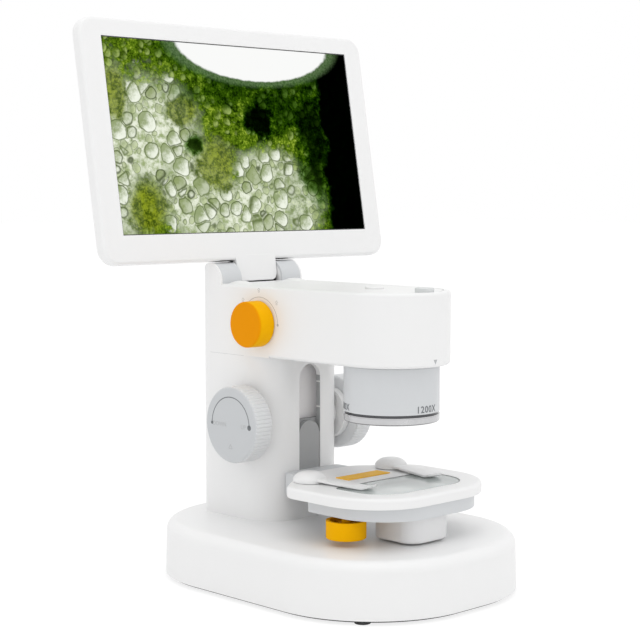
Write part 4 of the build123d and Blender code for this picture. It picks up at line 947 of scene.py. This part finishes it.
class MICROSCOPE_OT_selector(bpy.types.Operator):
    """Orange selector knob, and the printed arc and small signs round it"""

    bl_idname = "microscope.selector"
    bl_label = "Selector"

    def execute(self, context):
        s = context.scene.microscope_selector
        stem_length, stem_radius = 8.5 * MM, 3.0 * MM
        corners = [
            (-stem_length, 0.0, 0),
            (-stem_length, stem_radius, 0),
            (0.0, stem_radius, 0),
            (0.0, s.radius - 0.4 * MM, 0),
            (0.4 * MM, s.radius, 0.3 * MM),
            (s.depth, s.radius - 0.1 * MM, 1.1 * MM),
            (s.depth, 0.0, 0),
        ]
        points, faces = turned(rounded_profile(corners, 7), SELECTOR, (-1, 0, 0), 160)
        mesh = mesh_from("selector_cap", points, faces)
        place(mesh, "selector", "selector_cap", replaced=["selector_knob"])

        arc_start, arc_end, sign_angles = radians(2), radians(142), (137.7, 92, 41.4)
        roof = np.array([[-0.9, 0.1, 0], [0.0, 0.95, 0], [0.9, 0.1, 0]]) * MM
        roof_line, ring_line, ring_radius, ring_drop, dot = 0.22 * MM, 0.2 * MM, 0.45 * MM, 0.5 * MM, 0.62 * MM
        ring = arc_line(ring_radius, 0, 2 * pi, 25) - [0, ring_drop, 0]
        parts = [flat_stroke(arc_line(s.arc_radius, arc_start, arc_end, 72), s.line)]
        for angle in np.radians(sign_angles):
            middle = [s.sign_radius * cos(angle), s.sign_radius * sin(angle), 0]
            parts += [flat_stroke(roof + middle, roof_line), flat_stroke(ring + middle, ring_line)]
        parts.append(flat_dot(s.arc_radius, 0.0, dot))
        mesh = mesh_from("selector_signs", *joined(parts))
        reshape(mesh, on_side(-1, HEAD_HALF_WIDTH, SELECTOR[1], SELECTOR[2]))
        mark(mesh, "root", "pale_ink")
        return {"FINISHED"}


class MICROSCOPE_OT_drum(bpy.types.Operator):
    """Numbers round the revolving drum and the pointer above them"""

    bl_idname = "microscope.drum"
    bl_label = "Drum"

    def execute(self, context):
        d = context.scene.microscope_drum
        size_per_height, spread, clear = 1.38, 1.12, 0.04 * MM
        pointer_half, pointer_width, pointer_tip, pointer_z = 1.05 * MM, 2.2 * MM, 0.02 * MM, 105.2 * MM
        for words, heading in ((d.front_text, 0.0), (d.left_text, -120.0), (d.right_text, 120.0)):
            mesh = printed_text("drum_number_" + words.lower(), words, d.text_height * size_per_height, spread)
            reshape(mesh, round_drum(DRUM_RADIUS + clear, radians(heading), d.text_z))
            mark(mesh, "turret", "printed_ink")
        down = np.linspace([0.0, pointer_half, 0.0], [0.0, -pointer_half, 0.0], 12)
        taper = np.linspace(pointer_width, pointer_tip, 12)
        mesh = mesh_from("drum_pointer", *ribbon(down, X_AXIS, taper, 2 * INK, Z_AXIS))
        reshape(mesh, round_drum(HEAD_HALF_WIDTH, 0.0, pointer_z))
        mark(mesh, "root", "pale_ink")
        return {"FINISHED"}


class MICROSCOPE_OT_screen_trim(bpy.types.Operator):
    """The screen's tongue over its neck, and the dark strips under the bezel that paint the shadow in the gaps
    above the hinge's ears
    """

    bl_idname = "microscope.screen_trim"
    bl_label = "Screen trim"

    def execute(self, context):
        chamfer, back, edge, front = 0.18 * MM, 4.5 * MM, 5.03 * MM, 5.17 * MM
        flat, inner = nosed_outline(TONGUE), nosed_outline(TONGUE, chamfer)
        middle = np.tile(flat.mean(0), (len(flat), 1))
        steps = ((middle, back), (flat, back), (flat, edge), (inner, front), (middle, front))
        rings = [on_screen(line[:, 0], line[:, 1], np.full(len(line), out)) for line, out in steps]
        mesh = mesh_from("neck_tongue", np.concatenate(rings), grid_faces(len(rings), len(flat), wrap_cols=True))
        place(mesh, "screen", "white_moulding", smooth=False)

        # Black strips under the bezel's lower face above each ear: painted shadow in the gaps between bezel and
        # ears.
        strip_start, strip_end, strip_up, strip_out = 13.2 * MM, 21.6 * MM, 8.42 * MM, 2.4 * MM
        strip_width, strip_thick, count = 4.0 * MM, 0.06 * MM, 8
        lean = np.array([0.0, -cos(SCREEN_TILT), sin(SCREEN_TILT)])
        parts = []
        for side in (-1, 1):
            x = side * np.linspace(strip_start, strip_end, count)
            line = on_screen(x, np.full(count, strip_up), np.full(count, strip_out))
            parts.append(ribbon(line, lean, strip_width, strip_thick, np.cross(lean, X_AXIS)))
        mesh = mesh_from("bezel_shadow_strips", *joined(parts))
        place(mesh, "screen", "black_moulding", smooth=False)
        return {"FINISHED"}


class MICROSCOPE_OT_pane_dark_band(bpy.types.Operator):
    """Dark band round the stage pane's edge"""

    bl_idname = "microscope.pane_seal"
    bl_label = "Pane dark band"

    def execute(self, context):
        width, low, high = 0.42 * MM, 49.66 * MM, 49.76 * MM
        rings = []
        for inset, z in ((0.0, low), (0.0, high), (width, high), (width, low)):
            line = nosed_outline(PANE, inset, 24)
            rings.append(np.c_[line, np.full(len(line), z)])
        rings = np.stack(rings)
        mesh = mesh_from("pane_seal", rings, grid_faces(4, rings.shape[1], True, True))
        place(mesh, "stage", "pane_seal", smooth=False)
        return {"FINISHED"}


class MICROSCOPE_OT_head_trim(bpy.types.Operator):
    """Seams between head and column, and low fairings before the hinge's ears"""

    bl_idname = "microscope.head_trim"
    bl_label = "Head trim"

    def execute(self, context):
        seam_y, seam_z, seam_back, seam_front = 50.0 * MM, 102.75 * MM, 9.0 * MM, -14.5 * MM
        seam_line, seam_thick = 0.11 * MM, 0.03 * MM
        run = np.linspace([seam_front, 0, 0], [seam_back, 0, 0], 24)
        for side, name in ((-1, "left"), (1, "right")):
            mesh = mesh_from("head_seam_" + name, *flat_stroke(run * [side, 1, 1], seam_line, seam_thick))
            reshape(mesh, on_side(side, HEAD_HALF_WIDTH, seam_y, seam_z))
            mark(mesh, "root", "pale_ink")

        radius, top_radius, height, sunk = 5.2 * MM, 2.2 * MM, 1.3 * MM, 0.3 * MM
        ear_x, ear_y, stretch = 17.2 * MM, 46.6 * MM, [1.0, 1.25, 1.0]
        corners = [
            (-sunk, 0.0, 0),
            (-sunk, radius, 0),
            (0.0, radius, 0.2 * MM),
            (height, top_radius, 2.0 * MM),
            (height, 0.0, 0),
        ]
        points, faces = turned(rounded_profile(corners, 8), (0, 0, 0), Z_AXIS, 64)
        parts = [(points * stretch + [side * ear_x, ear_y, HEAD_TOP], faces) for side in (-1, 1)]
        mesh = mesh_from("ear_fairings", *joined(parts))
        place(mesh, "root", "white_moulding")
        return {"FINISHED"}


class MICROSCOPE_OT_slot(bpy.types.Operator):
    """Dark wall of the column's slot, and two white lines on it that paint the highlights on the lit tops of two
    small ledges
    """

    bl_idname = "microscope.slot"
    bl_label = "Slot"

    def execute(self, context):
        wall, highlight_wall, front, back = 6.72 * MM, 6.70 * MM, 18.6 * MM, 20.9 * MM
        low, high, thick = 66.0 * MM, 92.6 * MM, 0.04 * MM
        highlight_levels, highlight_line, highlight_thick = (89.5 * MM, 77.7 * MM), 0.7 * MM, 0.08 * MM
        middle = (front + back) / 2
        line = np.linspace([wall, middle, low], [wall, middle, high], 5)
        mesh = mesh_from("slot_strip", *ribbon(line, (0, 1, 0), back - front, thick, X_AXIS))
        place(mesh, "root", "mid_grey_moulding", smooth=False)
        # Two thin white bands across the wall: painted highlights on the lit tops of two small ledges.
        runs = [np.linspace([highlight_wall, front, z], [highlight_wall, back, z], 5) for z in highlight_levels]
        parts = [ribbon(run, Z_AXIS, highlight_line, highlight_thick, X_AXIS) for run in runs]
        mesh = mesh_from("slot_ledge_highlights", *joined(parts))
        place(mesh, "root", "ledge_highlight_white", smooth=False)
        return {"FINISHED"}


class MICROSCOPE_OT_clips(bpy.types.Operator):
    """Two spring clips: a domed hub and a bent arm whose tip turns up"""

    bl_idname = "microscope.clips"
    bl_label = "Clips"

    def execute(self, context):
        s = context.scene.microscope_stage
        low = STAGE_TOP + 0.2 * MM
        tip_x, tip_y = 20.5 * MM, -41.5 * MM
        arm_lift, tip_lift, bend, narrowing = 1.1 * MM, 0.9 * MM, 1.3, 0.05
        fall_start, fall_length, tip_start = 0.15, 0.72, 0.91
        hub_profile = rounded_profile(
            [
                (0.0, 0.0, 0),
                (0.0, s.hub_radius - 0.2 * MM, 0.2 * MM),
                (1.6 * MM, s.hub_radius, 1.0 * MM),
                (s.hub_height, s.hub_radius * 0.68, 3.0 * MM),
                (s.hub_height, 0.0, 0),
            ],
            8,
        )
        # With t from 0 at the pivot to 1 at the tip, the arm comes down as arm_lift * (1 - share of the fall)^bend
        # and turns up as tip_lift * (share of the tip)^bend.
        t = np.linspace(0, 1, 40)
        run = t * s.clip_length
        fall = arm_lift * (1 - np.clip((t - fall_start) / fall_length, 0, 1)) ** bend
        rise = fall + tip_lift * np.clip((t - tip_start) / (1 - tip_start), 0, 1) ** bend
        width = s.clip_width * (1 - narrowing * t)
        for side, name in ((-1, "left"), (1, "right")):
            centre = CLIP_PIVOT * [side, 1]
            way = np.array([side * tip_x, tip_y]) - centre
            way /= np.linalg.norm(way)
            across = np.array([-way[1], way[0], 0.0])
            middle = low + s.clip_sheet / 2 + rise
            line = np.stack([centre[0] + way[0] * run, centre[1] + way[1] * run, middle], -1)
            arm = ribbon(line, across, width, s.clip_sheet, Z_AXIS)
            hub = turned(hub_profile, (centre[0], centre[1], low), Z_AXIS, 96)
            mesh = mesh_from("spring_clip_" + name, *joined([arm, hub]))
            replaced = ["clip_" + name]
            piece = place(mesh, name + "_clip", "white_moulding", replaced=replaced)
            soften = piece.modifiers.new("edges", "BEVEL")
            soften.width = 0.22 * MM
            soften.segments = 2
            soften.limit_method = "ANGLE"
            soften.angle_limit = radians(40)
        return {"FINISHED"}


class MICROSCOPE_OT_studio(bpy.types.Operator):
    """Pale floor, soft lamps and the camera"""

    bl_idname = "microscope.studio"
    bl_label = "Studio"

    def execute(self, context):
        s = context.scene.microscope_studio
        scene = context.scene
        scene.view_settings.view_transform = "Standard"
        reach, floor_glow, glow_share, speckle = 6, 1.08, 0.75, 0.02
        mesh = bpy.data.meshes.new("floor")
        corners = [(-reach, -reach, 0), (reach, -reach, 0), (reach, reach, 0), (-reach, reach, 0)]
        mesh.from_pydata(corners, [], [(0, 1, 2, 3)])
        floor = bpy.data.objects.new("floor", mesh)
        scene.collection.objects.link(floor)
        material, t, shader = finish("floor_paper", Roughness=0.9)
        tone = t.noise(t.place(), scale=3.0)
        t.join(t.mix(t.times(tone, speckle), s.floor, (0.9, 0.9, 0.9)), shader.inputs["Base Color"])
        glow = t.fed("ShaderNodeEmission", {"Strength": floor_glow})[0]
        shares = {0: t.times(t.seen_bare(), glow_share), 1: shader.outputs[0], 2: glow}
        blend = t.fed("ShaderNodeMixShader", shares)[0]
        t.join(blend, material.node_tree.nodes["Material Output"].inputs[0])
        mesh.materials.append(material)

        world = bpy.data.worlds.new("even_light")
        scene.world = world
        world.use_nodes = True
        w = Tree(world.node_tree)
        back = world.node_tree.nodes["Background"]
        w.join(w.remap(w.seen_bare(), 0.0, 1.0, s.sky, 1.0), back.inputs["Strength"])
        back.inputs["Color"].default_value = opaque((1, 1, 1))

        aim = Vector((0.0, 0.0, 0.12))
        lamps = (
            ("key_lamp", (-1.1, -0.5, 1.3), s.key, 1.0),
            ("fill_lamp", (0.9, -1.2, 0.9), s.fill, 1.2),
            ("rim_lamp", (0.6, 1.2, 1.4), s.fill, 1.2),
            ("top_lamp", (-0.2, -0.3, 1.6), s.top, 1.4),
        )
        for name, spot, energy, size in lamps:
            light = bpy.data.lights.new(name, "AREA")
            light.energy = energy
            light.size = size
            lamp = bpy.data.objects.new(name, light)
            scene.collection.objects.link(lamp)
            lamp.location = spot
            lamp.rotation_euler = (aim - Vector(spot)).to_track_quat("-Z", "Y").to_euler()

        eye = bpy.data.cameras.new("camera")
        eye.lens = s.lens
        eye.sensor_width = SENSOR
        camera = bpy.data.objects.new("camera", eye)
        scene.collection.objects.link(camera)
        camera.location = EYE
        camera.rotation_euler = Euler((pi / 2 - EYE_DOWN, 0.0, EYE_TURN))
        scene.camera = camera
        return {"FINISHED"}


# ---- add-on ----
GROUPS = {
    "microscope_casing": CasingSettings,
    "microscope_screen": ScreenSettings,
    "microscope_knobs": KnobsSettings,
    "microscope_selector": SelectorSettings,
    "microscope_drum": DrumSettings,
    "microscope_stage": StageSettings,
    "microscope_studio": StudioSettings,
}
STEPS = (
    MICROSCOPE_OT_finishes,
    MICROSCOPE_OT_display,
    MICROSCOPE_OT_focus_knobs,
    MICROSCOPE_OT_selector,
    MICROSCOPE_OT_drum,
    MICROSCOPE_OT_screen_trim,
    MICROSCOPE_OT_pane_dark_band,
    MICROSCOPE_OT_head_trim,
    MICROSCOPE_OT_slot,
    MICROSCOPE_OT_clips,
    MICROSCOPE_OT_studio,
)


class MICROSCOPE_PT_panel(bpy.types.Panel):
    """Settings and steps of the microscope"""

    bl_idname = "MICROSCOPE_PT_panel"
    bl_label = "Microscope"
    bl_space_type = "VIEW_3D"
    bl_region_type = "UI"
    bl_category = "Microscope"

    def draw(self, context):
        for group_name, settings in GROUPS.items():
            box = self.layout.box()
            box.label(text=group_name.removeprefix("microscope_").capitalize())
            for name in settings.__annotations__:
                box.prop(getattr(context.scene, group_name), name)
        for step in STEPS:
            self.layout.operator(step.bl_idname)


def register():
    """Puts the settings on the scene and registers the steps and the panel."""
    for name, settings in GROUPS.items():
        bpy.utils.register_class(settings)
        setattr(bpy.types.Scene, name, PointerProperty(type=settings))
    for step in (*STEPS, MICROSCOPE_PT_panel):
        bpy.utils.register_class(step)


def unregister():
    """Takes them away in the opposite order."""
    for step in (MICROSCOPE_PT_panel, *reversed(STEPS)):
        bpy.utils.unregister_class(step)
    for name, settings in reversed(GROUPS.items()):
        delattr(bpy.types.Scene, name)
        bpy.utils.unregister_class(settings)


def main():
    """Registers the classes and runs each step."""
    register()
    bpy.ops.microscope.finishes()
    bpy.ops.microscope.display()
    bpy.ops.microscope.focus_knobs()
    bpy.ops.microscope.selector()
    bpy.ops.microscope.drum()
    bpy.ops.microscope.screen_trim()
    bpy.ops.microscope.pane_seal()
    bpy.ops.microscope.head_trim()
    bpy.ops.microscope.slot()
    bpy.ops.microscope.clips()
    bpy.ops.microscope.studio()


if __name__ == "__main__":
    main()
